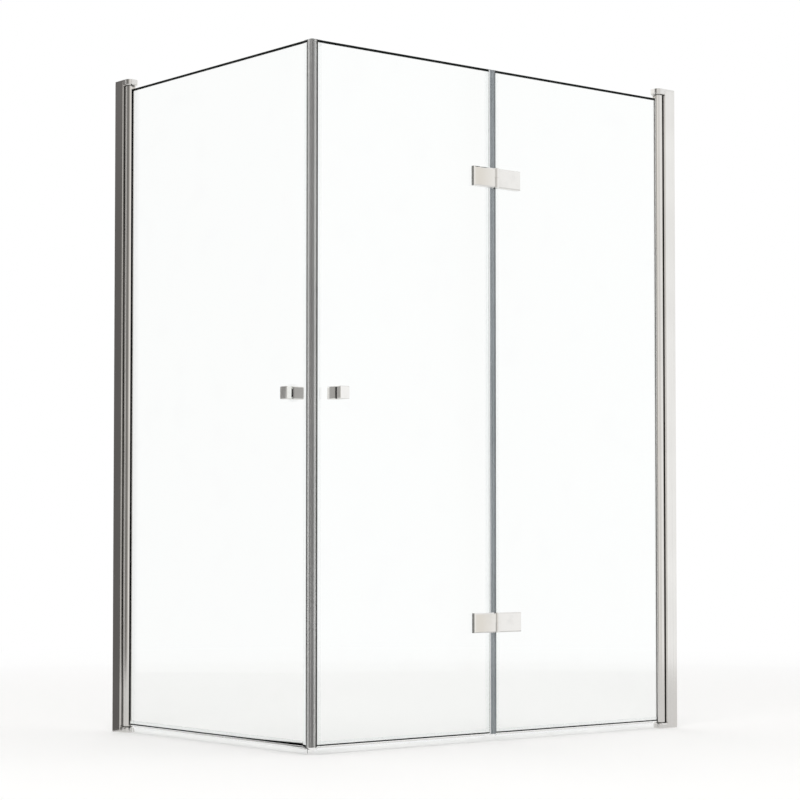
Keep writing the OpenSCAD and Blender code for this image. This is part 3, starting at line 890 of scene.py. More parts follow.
@dataclass(frozen=True)
class WallChannel:
    """Wall profile, lock screws and end caps of one side; the wall plane is at u = 0."""

    height: float = 1400.0
    width: float = 29.0
    depth: float = 29.5
    wall: float = 1.8
    corner: tuple = (1.6, 8)
    inner_corner: tuple = (0.6, 4)
    softness: tuple = (0.25, 2)
    mouth_half: float = 10.5
    cap_length: float = 51.0
    cap_plate: float = 3.5
    nose_height: float = 13.0
    nose_length: float = 21.2
    nose: tuple = (11.0, 14)
    nose_round: tuple = (4.2, 6)
    cap_softness: tuple = (0.6, 3)
    spigot: tuple = (-23.4, -8.1, 8.1, 12.0)
    pivot: float = 38.0
    pin_seat: tuple = (2.55, 7.0)
    wall_hole_r: float = 2.5
    wall_hole_zs: tuple = (100.0, 500.0, 900.0, 1300.0)
    lock_at: float = 17.0
    lock_zs: tuple = (150.0, 700.0, 1250.0)
    lock_shank: tuple = (1.75, 8.4)
    lock_head: tuple = (3.4, 1.6)
    lock_edge: tuple = (0.5, 3)
    lock_socket: tuple = (1.75, 0.8)

    def profile(self) -> Workpiece:
        """Shapes the channel that is screwed to the wall.

        Returns:
            The profile, against the wall plane.
        """
        half, inner, mouth = self.width / 2, self.width / 2 - self.wall, self.mouth_half
        low, high = self.cap_plate, self.height - self.cap_plate
        outer_corner = edges_along(2, lambda at: at.x < -self.depth / 2)
        piece = Workpiece.block("wall_profile", (-self.depth, -half, low), (0, half, high))
        piece.bevel(outer_corner, *self.corner)
        back = self.wall - self.depth
        hollow = Workpiece.block("hollow", (back, -inner, 0), (-self.wall, inner, self.height))
        hollow.bevel(outer_corner, *self.inner_corner)
        reach = (-self.depth - ROOM, -mouth, 0), (back + ROOM, mouth, self.height)
        piece.cut(hollow, Workpiece.block("mouth", *reach))
        for z in self.wall_hole_zs:
            start = (-self.wall - ROOM, 0, z)
            piece.drill(start, self.wall_hole_r, self.wall + 2 * ROOM, Axis.ALONG, HOLE)
        for z in self.lock_zs:
            start = (-self.lock_at, inner - ROOM, z)
            piece.drill(start, self.lock_shank[0], 4 * ROOM, Axis.ACROSS, HOLE)
        return piece.soften(*self.softness)

    def lock_screws(self) -> Workpiece:
        """Shapes the screws that hold the adjusting profile, on the inner flank.

        Returns:
            The three screws as one object.
        """
        half = self.width / 2
        shank_r, shank_v = self.lock_shank
        head_r, head_h = self.lock_head
        socket_r, socket_h = self.lock_socket
        head = half + head_h
        outer_end = facing(1, lambda at: at.y > half - NEAR)
        start = (-self.lock_at, shank_v, 0)
        screw = Workpiece.rod("lock_screw", start, shank_r, half - shank_v, Axis.ACROSS)
        screw.extrude(outer_end, (0, HAIR, 0))
        screw.resize(outer_end, (head_r / shank_r,) * 3, (-self.lock_at, half, 0))
        screw.extrude(outer_end, (0, head_h, 0))
        screw.bevel(edges_across(1, lambda at: at.y > head - NEAR), *self.lock_edge)
        screw.drill((-self.lock_at, head - socket_h, 0), socket_r, 2 * ROOM, Axis.ACROSS, HEXAGON)
        return screw.repeat(*((0, 0, z) for z in self.lock_zs))

    def cap(self) -> Workpiece:
        """Shapes the end cap at the foot, with the nose that carries the pivot pin.

        Returns:
            The cap.
        """
        half, end = self.width / 2, -self.cap_length
        nose_u = self.nose_length - self.cap_length
        piece = Workpiece.block("cap", (end, -half, 0), (0, half, self.cap_plate))
        piece.split(0, nose_u)
        piece.extrude(
            facing(2, lambda at: at.x < nose_u), (0, 0, self.nose_height - self.cap_plate)
        )
        front = edges_along(2, lambda at: at.x < end + ROOM and abs(at.y) > half - ROOM)
        piece.bevel(front, *self.nose)
        outline = edges_across(
            2,
            lambda at: at.x < nose_u + ROOM
            and at.z > self.nose_height - NEAR
            and (abs(at.y) > half - ROOM or at.x < end + self.nose[0]),
        )
        piece.bevel(outline, *self.nose_round)
        near_u, far_u, spigot_half, spigot_h = self.spigot
        piece.split(0, near_u, far_u).split(1, -spigot_half, spigot_half)
        spigot = facing(2, lambda at: near_u < at.x < far_u and abs(at.y) < spigot_half)
        piece.extrude(spigot, (0, 0, spigot_h))
        pin_r, pin_depth = self.pin_seat
        start = (-self.pivot, 0, self.nose_height - pin_depth)
        return piece.drill(start, pin_r, pin_depth + ROOM, Axis.UP).soften(*self.cap_softness)

    def build(self) -> None:
        """Builds and fits the fixings of both sides."""
        foot = self.cap()
        for node, pattern, slot, finish in (
            ("wall_profile", self.profile(), Slot.ALUMINIUM, None),
            ("lock_screws", self.lock_screws(), Slot.STEEL, None),
            ("top_cap", foot.copy("head").mirror(2, self.height / 2), Slot.CHROME, SATIN_CAP),
            ("bottom_cap", foot, Slot.CHROME, SATIN_CAP),
        ):
            pattern.install(slot, at_walls(node, dict.fromkeys(Side, Body.FIXINGS)), finish)


@dataclass(frozen=True)
class PivotTube:
    """The round tube that holds the glass and turns on two bushes; its axis is at u = 0."""

    height: float = 1400.0
    setback: float = 38.0
    low: float = 14.3
    radius: float = 11.0
    wall: float = 1.8
    slot_half: float = 4.2
    slot_floor: float = 4.9
    bore: float = 3.75
    hollow_from: float = 0.05
    flange: tuple = (8.0, 1.0)
    sleeve: tuple = (3.7, 18.0)
    bush_bore: tuple = (2.55, 60.0)
    softness: float = 0.2
    sharp_from: float = 35.0

    def tube(self) -> Workpiece:
        """Shapes the tube with its glass slot, bearing bore and hollow back.

        Returns:
            The tube on its own axis.
        """
        low, high = (-self.radius - ROOM, -self.slot_half), (-self.slot_floor, self.slot_half)
        span, core = self.height - 2 * self.low, self.bore + self.wall
        piece = Workpiece.rod("tube", (0, 0, self.low), self.radius, span, Axis.UP, TUBE)
        piece.cut(Workpiece.block("slot", (*low, 0), (*high, self.height)))
        piece.drill((0, 0, 0), self.bore, self.height, Axis.UP)
        inner_r = self.radius - self.wall
        hollow = Workpiece.rod("hollow", (0, 0, 0), inner_r, self.height, Axis.UP, WIDE)
        hollow.drill((0, 0, -ROOM), core, self.height + 2 * ROOM, Axis.UP, BAR)
        return piece.cut(hollow.bisect((self.hollow_from, 0, 0), (-1, 0, 0)))

    def bushes(self) -> Workpiece:
        """Shapes the flanged bushes at both ends.

        Returns:
            The two bushes as one object.
        """
        flange_r, flange_t = self.flange
        sleeve_r, sleeve_l = self.sleeve
        start = (0, 0, self.low - flange_t)
        bush = Workpiece.rod("bush", start, flange_r, flange_t, Axis.UP, WIDE)
        rim = (flange_r - sleeve_r) * MM
        bush.edit(Level.FACE, facing(2), bpy.ops.mesh.inset, thickness=rim, depth=0.0)
        bush.extrude(facing(2, lambda at: at.xy.length < sleeve_r / 2), (0, 0, sleeve_l))
        bush.drill((0, 0, 0), *self.bush_bore, Axis.UP).soften(self.softness)
        return bush.gather(bush.copy("head_bush").mirror(2, self.height / 2))

    def build(self) -> None:
        """Builds and fits tube and bushes of both sides."""
        bodies = {Side.FRONT: Body.WALL_LEAF, Side.SIDE: Body.SIDE_LEAF}
        for node, pattern, slot in (
            ("pivot_tube", self.tube(), Slot.ALUMINIUM),
            ("pivot_bushes", self.bushes(), Slot.NYLON),
        ):
            places = at_walls(node, bodies, self.setback)
            pattern.install(slot, places, angle=self.sharp_from, even=False)


@dataclass(frozen=True)
class Panes:
    """The three glass panes with seamed edges, painted shade along them, and drilled holes."""

    thickness: float = 6.0
    arris: float = 1.1
    # foot_rim, head_rim and end_rims: how far the painted edge shade reaches onto the faces past
    # the arris
    foot_rim: float = 1.2
    head_rim: float = 3.4
    end_rims: tuple = (0.3, 1.3)
    low: float = 17.0
    high: float = 1379.0
    hinge_hole_r: float = 4.0
    knob_hole_r: float = 5.0
    sharp_from: float = 10.0
    panes: tuple = (
        ("side_glass", Side.SIDE, Body.SIDE_LEAF, (11.0, 642.5), (KNOB_AT,), ()),
        ("door_glass", Side.FRONT, Body.DOOR_LEAF, (11.0, 454.8), (KNOB_AT,), DOOR_SCREWS),
        ("wall_leaf_glass", Side.FRONT, Body.WALL_LEAF, (470.2, 946.5), (), LEAF_SCREWS),
    )

    def pane(
        self, name: str, span: tuple, holes: Sequence[Triple], clear_end: bool
    ) -> Workpiece:
        """Shapes one pane.

        Args:
            name: Its name.
            span: Where it starts and ends along the leaf.
            holes: Place, height and radius of each hole.
            clear_end: Whether the end away from the corner is left clear instead of painted with
                the edge shade.

        Returns:
            The pane in the leaf frame.
        """
        half, (near_rim, far_rim) = self.thickness / 2, self.end_rims
        low_z = self.low + self.arris + self.foot_rim
        high_z = self.high - self.arris - self.head_rim
        low_u, high_u = span[0] + (self.arris + near_rim), span[1] - (self.arris + far_rim)
        if clear_end:
            high_u = span[1] + ROOM
        piece = Workpiece.block(name, (span[0], -half, self.low), (span[1], half, self.high))
        piece.bevel(None, self.arris).split(2, low_z, high_z).split(0, low_u, high_u)
        for u, z, radius in holes:
            piece.drill((u, -half - ROOM, z), radius, self.thickness + 2 * ROOM, Axis.ACROSS)
        piece.dress(FINISHES[Slot.GLASS], self.sharp_from, even=False)

        def shaded_rim_face(at: Vector, way: Vector) -> bool:
            """Whether a face gets the painted edge shade: the seamed edge and the bands beside it,
            or a hole.
            """
            inside = low_z < at.z < high_z and low_u < at.x < high_u
            at_end = clear_end and inside and at.x > span[1] - self.arris - NEAR
            return not (at_end or abs(way.y) > UPRIGHT and inside)

        # The edges, holes and the bands beside them are painted near-black: painted shade for the
        # dark line of the glass edge.
        return piece.paint(GLASS_EDGE_SHADE, shaded_rim_face)

    def build(self) -> None:
        """Builds, dresses and fits the panes."""
        for node, side, body, span, knobs, screws in self.panes:
            holes = [(u, z, self.knob_hole_r) for u, z in knobs]
            holes += [(u, z, self.hinge_hole_r) for u in screws for z in HINGE_ZS]
            piece = self.pane(f"{node}_pane", span, holes, side is Side.FRONT).onto(side)
            piece.item.visible_shadow = False
            piece.fit(node, body, Slot.GLASS)


@dataclass(frozen=True)
class Seals:
    """The drawn vinyl seals: corner, fold and bottom."""

    glass_half: float = 3.03
    half: float = 4.0
    lip_length: float = 9.0
    low: float = 15.0
    high: float = 1379.0
    sill: float = 1.97
    corner_edge: float = 10.97
    mitre: float = math.radians(45)
    mitre_shift: float = 0.2828
    magnet: tuple = (-0.85, 4.65, 0.95, 3.45)
    fold_edges: tuple = (454.83, 470.17)
    fold_head: tuple = (7.47, 3.6, 2.5)
    fold_core: float = 0.2
    hinge_spans: tuple = ((15.0, 221.7), (262.3, 1133.7), (1174.3, 1379.0))
    fin: tuple = (1.2, 2.0, 0.5)
    drip: tuple = (12.0, 9.0, 0.3)
    drip_root: tuple = (0.05, -2.0, 0.2)
    bottoms: tuple = (
        ("side_bottom_seal", Side.SIDE, Body.SIDE_LEAF, (20.3, 636.7), (11.0, 628.2)),
        ("door_bottom_seal", Side.FRONT, Body.DOOR_LEAF, (20.3, 445.5), (11.0, 454.8)),
        ("wall_leaf_bottom_seal", Side.FRONT, Body.WALL_LEAF, (479.5, 940.7), (470.2, 932.2)),
    )
    softness: tuple = (0.3, 2, 30.0)
    smoke_v: float = 1.2
    # width of the near-black strip painted as shade on the corner seal
    line: float = 2.4

    def lips(self, piece: Workpiece, edge: float, way: int) -> Workpiece:
        """Draws the two lips that grip the glass out of a seal's head.

        Args:
            piece: The head, as thick as the glass and both lips.
            edge: The place where the head's flat face meets the glass edge.
            way: +1 when the glass lies towards the wall, -1 when towards the corner.

        Returns:
            The head with its lips.
        """
        outer = lambda at: abs(at.x - edge) < NEAR and abs(at.y) > self.glass_half  # noqa: E731
        piece.split(1, -self.glass_half, self.glass_half)
        return piece.extrude(facing(0, outer, way), (way * self.lip_length, 0, 0))

    def core(self, piece: Workpiece, vinyl: Finish, low: float, high: float) -> Workpiece:
        """Rounds a seal's edges and gives it a core between clear lips.

        Args:
            piece: The seal.
            vinyl: The core's vinyl.
            low: Where the core starts along the leaf.
            high: Where it ends.

        Returns:
            The seal.
        """
        low, high = low - NEAR, high + NEAR
        clear = lambda at, way: at.y > self.smoke_v or not low < at.x < high  # noqa: E731
        return piece.soften(*self.softness).dress(vinyl).paint(CLEAR_LIP, clear)

    def corner(self) -> Workpiece:
        """Shapes the 45 degree seal with the pocket of its magnet.

        Returns:
            The seal in the leaf frame.
        """
        half, edge = self.half, self.corner_edge
        piece = Workpiece.block("corner_seal", (-half, -half, self.low), (edge, half, self.high))
        self.lips(piece, edge, 1).bisect((self.mitre_shift, 0, 0), (-1, 1, 0))
        low_u, high_u, near, far = self.magnet
        pocket = Workpiece.block("pocket", (low_u, -far, 0), (high_u, -near, self.high + ROOM))
        piece.cut(pocket.apply(Matrix.Rotation(self.mitre, 4, "Z")))
        self.core(piece.split(0, edge - self.line), CORNER_CORE, -half, edge)
        # A near-black strip on the seal's outer wall beside the glass edge: painted shade for the
        # dark line there.
        return piece.paint(
            SEAL_SHADE_LINE, lambda at, way: edge - self.line < at.x < edge and at.y < -self.glass_half
        )

    def fold(self, edge: float, way: int) -> Workpiece:
        """Shapes one fold seal, cut away at the hinges.

        Args:
            edge: The glass edge that it sits on.
            way: +1 when its head points to the wall, -1 when to the corner.

        Returns:
            Its three lengths as one object.
        """
        half = self.half
        head, flat, nose = self.fold_head
        tip = edge + way * head
        low_u, high_u = sorted((edge, edge + way * flat))
        core = sorted((edge + way * self.fold_core, tip))
        at_tip = facing(0, lambda at: abs(at.x - tip) < NEAR, way)
        lengths = []
        for low_z, high_z in self.hinge_spans:
            piece = Workpiece.block("length", (low_u, -half, low_z), (high_u, half, high_z))
            self.lips(piece, edge, -way)
            piece.extrude(facing(0, way=way), (way * (head - flat), 0, 0))
            piece.resize(at_tip, (1, nose / half, 1), (tip, 0, 0))
            lengths.append(self.core(piece, FINISHES[Slot.VINYL], *core))
        return lengths[0].gather(*lengths[1:])

    def bottom(self, span: Sequence[float], fin_span: Sequence[float]) -> Workpiece:
        """Shapes one bottom seal with its upright fin and the drip fin inside.

        Args:
            span: Where its channel starts and ends along the leaf.
            fin_span: Where its fin starts and ends.

        Returns:
            The seal in the leaf frame.
        """
        half, (start, end) = self.half, span
        fin_t, sweep, fin_bite = self.fin
        reach, drip_z, thinning = self.drip
        inset, root_low, root_high = self.drip_root
        top = self.low + self.sill
        piece = Workpiece.block("bottom_seal", (start, -half, self.low), (end, half, top))
        piece.split(1, -self.glass_half, self.glass_half)
        piece.extrude(facing(2, lambda at: abs(at.y) > self.glass_half), (0, 0, self.lip_length))
        fin_ends = (fin_span[0], -fin_t / 2, sweep), (fin_span[1], fin_t / 2, self.low + fin_bite)
        drip_end = (min(end, fin_span[1]) - inset, half, self.low + root_high)
        drip = Workpiece.block("drip", (start + inset, 0, self.low + root_low), drip_end)
        drip.extrude(facing(1), (0, reach - half, drip_z - self.low))
        outer_tip = facing(1, lambda at: at.y > reach - ROOM)
        drip.resize(outer_tip, (1, 1, thinning), (0, reach, drip_z))
        piece.weld(Workpiece.block("fin", *fin_ends), drip)
        return piece.soften(*self.softness).dress(CLEAR_LIP)

    def build(self) -> None:
        """Builds and fits every seal."""
        corner, front = self.corner(), Side.FRONT
        drawn = [
            (corner.copy("twin"), "side_corner_seal", Side.SIDE, Body.SIDE_LEAF),
            (corner, "door_corner_seal", front, Body.DOOR_LEAF),
            (self.fold(self.fold_edges[0], 1), "door_fold_seal", front, Body.DOOR_LEAF),
            (self.fold(self.fold_edges[1], -1), "wall_leaf_fold_seal", front, Body.WALL_LEAF),
        ]
        drawn += [(self.bottom(span, fin_span), *place) for *place, span, fin_span in self.bottoms]
        for piece, node, side, body in drawn:
            piece.rename(f"{node}_drawn").onto(side).fit(node, body, Slot.VINYL)


@dataclass(frozen=True)
class FoldHinge:
    """The two glass hinges of the fold; a plate's barrel axis is at u = 0."""

    axis_u: float = 466.75
    height: float = 40.0
    gap: float = 0.3
    pad_v: float = 4.0
    face_v: float = 12.5
    axis_v: float = 13.0
    barrel_r: float = 4.25
    bevel: tuple = (2.4, 1.3)
    door_length: float = 56.0
    leaf_length: float = 63.0
    neck_depth: float = 4.0
    pin_r: float = 2.0
    pin_edge: tuple = (0.35, 2)
    bush_r: float = 3.0
    slack: float = 0.02
    loose: float = 0.05
    plate_start: float = 5.1
    screw_r: float = 2.5
    screw_bite: float = 5.0
    head: tuple = (4.8, 2.3)
    socket: tuple = (1.9, 4.0)
    back: tuple = (38.0, 36.0, 3.5)
    back_corner: tuple = (2.4, 6)
    plate_softness: tuple = (0.3, 2, 25.0)
    back_softness: tuple = (0.4, 3)
    screw_softness: float = 0.12
    bush_softness: float = 0.15

    def plate(
        self, length: float, knuckle: tuple, bore: float, screws: Sequence[float]
    ) -> Workpiece:
        """Shapes one outer plate with its half of the barrel, leaf towards the wall.

        Args:
            length: How far the plate reaches past the barrel.
            knuckle: Lower and upper end of its knuckle.
            bore: Radius of the hole in the knuckle.
            screws: Places of the screw holes.

        Returns:
            The plate.
        """
        half, end = self.height / 2, self.barrel_r + length
        (width, depth), (low, high) = self.bevel, knuckle
        start = (self.plate_start, -self.face_v, -half)
        piece = Workpiece.block("plate", start, (end, -self.pad_v, half))
        for way in (1, -1):
            piece.bisect((0, -self.face_v, way * (half - width)), (0, -width, way * depth))
        piece.bisect((end - width, -self.face_v, 0), (depth, -width, 0))
        axis = (0, -self.axis_v, low)
        barrel = Workpiece.rod("barrel", axis, self.barrel_r, high - low, Axis.UP, WIDE)
        neck_end = (self.plate_start + ROOM, self.neck_depth - self.axis_v, high)
        piece.weld(barrel.weld(Workpiece.block("neck", axis, neck_end)))
        piece.drill((0, -self.axis_v, -half - ROOM), bore, self.height + 2 * ROOM, Axis.UP, BAR)
        for u in screws:
            start = (u, -self.pad_v - self.screw_bite - self.gap, 0)
            piece.drill(start, self.screw_r, self.screw_bite + 2 * ROOM, Axis.ACROSS, HOLE)
        return piece.soften(*self.plate_softness)

    def backing(self, screws: Sequence[float]) -> Workpiece:
        """Shapes the plate inside the glass, with its countersunk holes.

        Args:
            screws: Places of the two screws along the leaf.

        Returns:
            The backing plate in the leaf frame, at height zero.
        """
        middle = sum(screws) / 2
        length, height, depth = self.back
        low = (middle - length / 2, self.pad_v, -height / 2)
        high = (middle + length / 2, self.pad_v + depth, height / 2)
        piece = Workpiece.block("backing", low, high).bevel(edges_along(1), *self.back_corner)
        piece.cut(*(self.screw(u, self.loose) for u in screws))
        return piece.soften(*self.back_softness)

    def screw(self, u: float, room: float = 0.0) -> Workpiece:
        """Shapes a countersunk screw, or the room that it needs.

        Args:
            u: Its place along the leaf.
            room: How much wider the room is all round, or 0 for the screw itself.

        Returns:
            The screw at height zero.
        """
        head_r, head_h = self.head
        top, start = self.pad_v + self.back[2], -self.pad_v - self.screw_bite
        radius, outer_end = self.screw_r + room, facing(1, lambda at: at.y > 0)
        shank = top - head_h - start
        piece = Workpiece.rod("clamp_screw", (u, start, 0), radius, shank, Axis.ACROSS)
        piece.extrude(outer_end, (0, head_h, 0))
        piece.resize(outer_end, ((head_r + room) / radius,) * 3, (u, top, 0))
        if room:
            return piece.extrude(outer_end, (0, ROOM, 0))
        piece.drill((u, top - head_h, 0), *self.socket, Axis.ACROSS, HEXAGON)
        return piece.soften(self.screw_softness)

    def pair(self, screws: Sequence[float]) -> Workpiece:
        """The two screws of one plate as one object."""
        return self.screw(screws[0]).repeat((0, 0, 0), (screws[1] - screws[0], 0, 0))

    def pin(self) -> Workpiece:
        """Shapes the pin with its chamfered ends.

        Returns:
            The pin at height zero.
        """
        half = self.height / 2 - self.gap
        start = (self.axis_u, -self.axis_v, -half)
        pin = Workpiece.rod("pin", start, self.pin_r, 2 * half, Axis.UP, BORE)
        return pin.bevel(edges_across(2), *self.pin_edge)

    def bush(self) -> Workpiece:
        """Shapes the bush in the door's half of the barrel.

        Returns:
            The bush at height zero.
        """
        axis, rim, top = (self.axis_u, -self.axis_v), self.gap / 2, self.height / 2
        piece = Workpiece.rod("bush", (*axis, rim), self.bush_r, top - rim, Axis.UP, BORE)
        piece.drill((*axis, -ROOM), self.pin_r + self.loose, self.height, Axis.UP)
        return piece.soften(self.bush_softness)

    def build(self) -> None:
        """Builds, copies and fits everything on the two hinges."""
        half, rim, axis = self.height / 2, self.gap / 2, self.axis_u
        leaf, door = Body.WALL_LEAF, Body.DOOR_LEAF
        leaf_us, door_us = [u - axis for u in LEAF_SCREWS], [axis - u for u in DOOR_SCREWS]
        pin_bore, bush_bore = self.pin_r + self.slack, self.bush_r + self.slack
        leaf_plate = self.plate(self.leaf_length, (-half, -rim), pin_bore, leaf_us)
        door_plate = self.plate(self.door_length, (rim, half), bush_bore, door_us).mirror(0)
        for node, pattern, body, u in (
            ("hinge_wall_plate", leaf_plate, leaf, axis),
            ("hinge_door_plate", door_plate, door, axis),
            ("hinge_wall_backing", self.backing(LEAF_SCREWS), leaf, 0.0),
            ("hinge_door_backing", self.backing(DOOR_SCREWS), door, 0.0),
        ):
            pattern.install(Slot.CHROME, [
                Place(f"{ends}_{node}", body, shift=(u, 0, z))
                for ends, z in zip(("lower", "upper"), HINGE_ZS)
            ])
        for node, pattern, body, slot in (
            ("wall_leaf_hinge_screws", self.pair(LEAF_SCREWS), leaf, Slot.STEEL),
            ("door_hinge_screws", self.pair(DOOR_SCREWS), door, Slot.STEEL),
            ("hinge_pins", self.pin(), leaf, Slot.STEEL),
            ("hinge_bushes", self.bush(), door, Slot.NYLON),
        ):
            pattern.repeat(*((0, 0, z) for z in HINGE_ZS)).install(slot, [Place(node, body)])


@dataclass(frozen=True)
class Knobs:
    """The block knobs outside and inside the glass of both leaves."""

    width: float = 22.5
    height: float = 25.0
    foot_v: float = 4.0
    outer_length: float = 11.5
    inner_length: float = 26.0
    edge: tuple = (1.6, 5)
    face_bevel: float = 0.8
    softness: tuple = (0.15, 2, 30.0)
    stud: tuple = (3.1, 7.5)

    def knob(self, length: float) -> Workpiece:
        """Shapes one outer block, with its foot at the glass and its face towards -v.

        Args:
            length: How far it stands out.

        Returns:
            The block.
        """
        (u, z), foot, (radius, depth) = KNOB_AT, -self.foot_v, self.stud
        face, half_u, half_z = foot - length, self.width / 2, self.height / 2
        low, high = (u - half_u, face, z - half_z), (u + half_u, foot, z + half_z)
        piece = Workpiece.block("knob", low, high)
        piece.bevel(edges_along(1), *self.edge)
        piece.bevel(edges_across(1, lambda at: at.y < face + NEAR), self.face_bevel)
        piece.drill((u, foot - depth, z), radius, depth + ROOM, Axis.ACROSS)
        return piece.soften(*self.softness)

    def build(self) -> None:
        """Builds and fits the four knobs."""
        inner = self.knob(self.inner_length).mirror(1)
        for where, pattern in (("outer", self.knob(self.outer_length)), ("inner", inner)):
            pattern.install(Slot.CHROME, [
                Place(f"door_knob_{where}", Body.DOOR_LEAF),
                Place(f"side_knob_{where}", Body.SIDE_LEAF, Side.SIDE),
            ])


@dataclass(frozen=True)
class CarriedOver:
    """The CAD nodes that show as they are, each with its finish."""

    slots: tuple = (
        (Slot.ALUMINIUM, FINISHES[Slot.ALUMINIUM], (
            "front_adjusting_profile", "side_adjusting_profile",
        )),
        (Slot.MAGNET, FINISHES[Slot.MAGNET], ("side_corner_magnet", "door_corner_magnet")),
        (Slot.RUBBER, FINISHES[Slot.RUBBER], (
            "front_profile_seal", "side_profile_seal", "side_glass_gasket",
            "side_knob_washers", "door_knob_washers",
        )),
        (Slot.RUBBER, PAD_RUBBER, ("wall_leaf_hinge_pads", "door_hinge_pads")),
        # Painted light: the front gasket is the same rubber part as the side one, painted pale
        # where it looks lit.
        (Slot.RUBBER, LIT_GASKET, ("front_glass_gasket",)),
        (Slot.STEEL, FINISHES[Slot.STEEL], (
            "front_pivot_pins", "side_pivot_pins", "side_knob_stud", "door_knob_stud",
        )),
    )

    def dress(self, nodes: Mapping[str, bpy.types.Object]) -> None:
        """Gives each node its finish through its own material slots.

        Args:
            nodes: The CAD nodes by name.
        """
        for slot, finish, names in self.slots:
            for node in (nodes[name] for name in names):
                for place in node.material_slots:
                    place.link = "OBJECT"
                    place.material = finish.material()
                LOG.info("%s: CAD node dressed as %s", node.name, slot.value)


# The studio


def seen_rays(desk: NodeDesk) -> Signal:
    """One for rays that the camera, metal or glass sees by, else zero."""
    metal_and_camera = desk.ray("Is Camera Ray") + desk.ray("Is Glossy Ray")
    return (metal_and_camera + desk.ray("Is Transmission Ray")).at_most(1.0)


def mirrored_glow(desk: NodeDesk, tone: Any, strength: Any = 1.0) -> Signal:
    """A glow that only rays thrown back by metal or glass see, through the panes too."""
    clear, thrown_back = desk.signal("ShaderNodeBsdfTransparent"), desk.ray("Glossy Depth")
    return desk.blend(thrown_back.at_most(1.0), clear, desk.glow(tone, strength))


@dataclass(frozen=True)
class PaleFloor(Finish):
    """The studio's pale floor, which fades into the white around it."""

    tone: Colour = shade(0.84, 0.835, 0.825)
    patch: Colour = shade(0.82, 0.815, 0.805)
    grain: Triple = (40.0, 40.0, 3.0)
    roughness: float = 0.7
    lift: float = 0.25
    near: float = 1.2
    far: float = 3.6

    def wire(self, desk: NodeDesk) -> Signal:
        """Lays out a matt floor with a share of plain white for seen rays.

        Args:
            desk: The desk to lay it on.

        Returns:
            The surface.
        """
        seen = seen_rays(desk)
        away = desk.signal("ShaderNodeVectorMath", {0: desk.place()}, "Value", operation="LENGTH")
        tone = desk.tint(desk.noise(*self.grain), self.tone, self.patch)
        look = {"Base Color": tone, "Roughness": self.roughness}
        matt = desk.signal("ShaderNodeBsdfPrincipled", look)
        near = desk.signal("ShaderNodeAddShader", {0: matt, 1: desk.glow(WHITE, seen * self.lift)})
        return desk.blend(away.step(self.near, self.far) * seen, near, desk.glow(WHITE, 1.0))


@dataclass(frozen=True)
class RoomSweep(Finish):
    """What polished metal sees around it: a lit room with a dark far end."""

    bearings: tuple = (
        (-180.0, 0.20, 0.195, 0.185),
        (-168.0, 0.24, 0.230, 0.215),
        (-152.0, 0.56, 0.540, 0.510),
        (-136.0, 0.84, 0.815, 0.780),
        (-127.0, 0.92, 0.900, 0.870),
        (-108.0, 0.76, 0.740, 0.715),
        (-80.0, 0.78, 0.765, 0.745),
        (-66.0, 0.96, 0.955, 0.945),
        (-56.5, 0.94, 0.930, 0.910),
        (-55.5, 0.76, 0.725, 0.665),
        (-53.9, 0.76, 0.725, 0.665),
        (-53.5, 0.91, 0.900, 0.885),
        (-42.0, 1.0, 1.0, 0.99),
        (-25.0, 0.88, 0.87, 0.855),
        (20.0, 0.80, 0.79, 0.775),
        (60.0, 0.84, 0.835, 0.82),
        (110.0, 0.84, 0.830, 0.815),
        (142.0, 0.86, 0.850, 0.835),
        (149.0, 0.30, 0.290, 0.275),
        (160.0, 0.19, 0.183, 0.174),
        (180.0, 0.20, 0.195, 0.185),
    )
    glare: Colour = shade(1.0, 0.99, 0.97)
    pane_glare: float = 0.6

    def wire(self, desk: NodeDesk) -> Signal:
        """Lays out the brightness by bearing.

        Args:
            desk: The desk to lay it on.

        Returns:
            The surface.
        """
        place = {0: desk.place()}
        bearing = desk.signal("ShaderNodeTexGradient", place, 1, gradient_type="RADIAL")
        tone = desk.ramp(bearing, [(at / 360 + 0.5, shade(*tone)) for at, *tone in self.bearings])
        through = desk.ray("Is Transmission Ray") * self.pane_glare
        return mirrored_glow(desk, desk.tint(through, tone, self.glare))


@dataclass(frozen=True)
class WallSweep(Finish):
    """What polished metal sees of the rear wall, dark beside the screen."""

    places: tuple = (
        (-0.536, 0.40, 0.390, 0.380),
        (-0.527, 0.130, 0.124, 0.119),
        (-0.500, 0.126, 0.120, 0.117),
        (-0.485, 0.14, 0.133, 0.127),
        (-0.468, 0.45, 0.440, 0.425),
        (-0.440, 0.78, 0.765, 0.745),
        (0.51, 0.82, 0.81, 0.795),
    )
    rise: float = 0.45
    rise_zs: tuple = (0.85, 1.75)

    def span(self) -> tuple[float, float]:
        """Where the wall starts and how far it reaches, in metres."""
        start, end = self.places[0][0], self.places[-1][0]
        return start, end - start

    def wire(self, desk: NodeDesk) -> Signal:
        """Lays out the brightness along the wall.

        Args:
            desk: The desk to lay it on.

        Returns:
            The surface.
        """
        start, reach = self.span()
        axes = desk.node("ShaderNodeSeparateXYZ", {0: desk.place()}).outputs
        x, height = Signal(desk, axes["X"]), Signal(desk, axes["Z"])
        stops = [((at - start) / reach, shade(*tone)) for at, *tone in self.places]
        tone = desk.ramp((x - start) / reach, stops)
        return mirrored_glow(desk, tone, 1.0 + height.step(*self.rise_zs) * self.rise)


@dataclass(frozen=True)
class Cloth(Finish):
    """A plain backdrop that gives a polished face its tone."""

    tone: Colour = WHITE

    def wire(self, desk: NodeDesk) -> Signal:
        """Lays out one even tone."""
        return mirrored_glow(desk, self.tone)


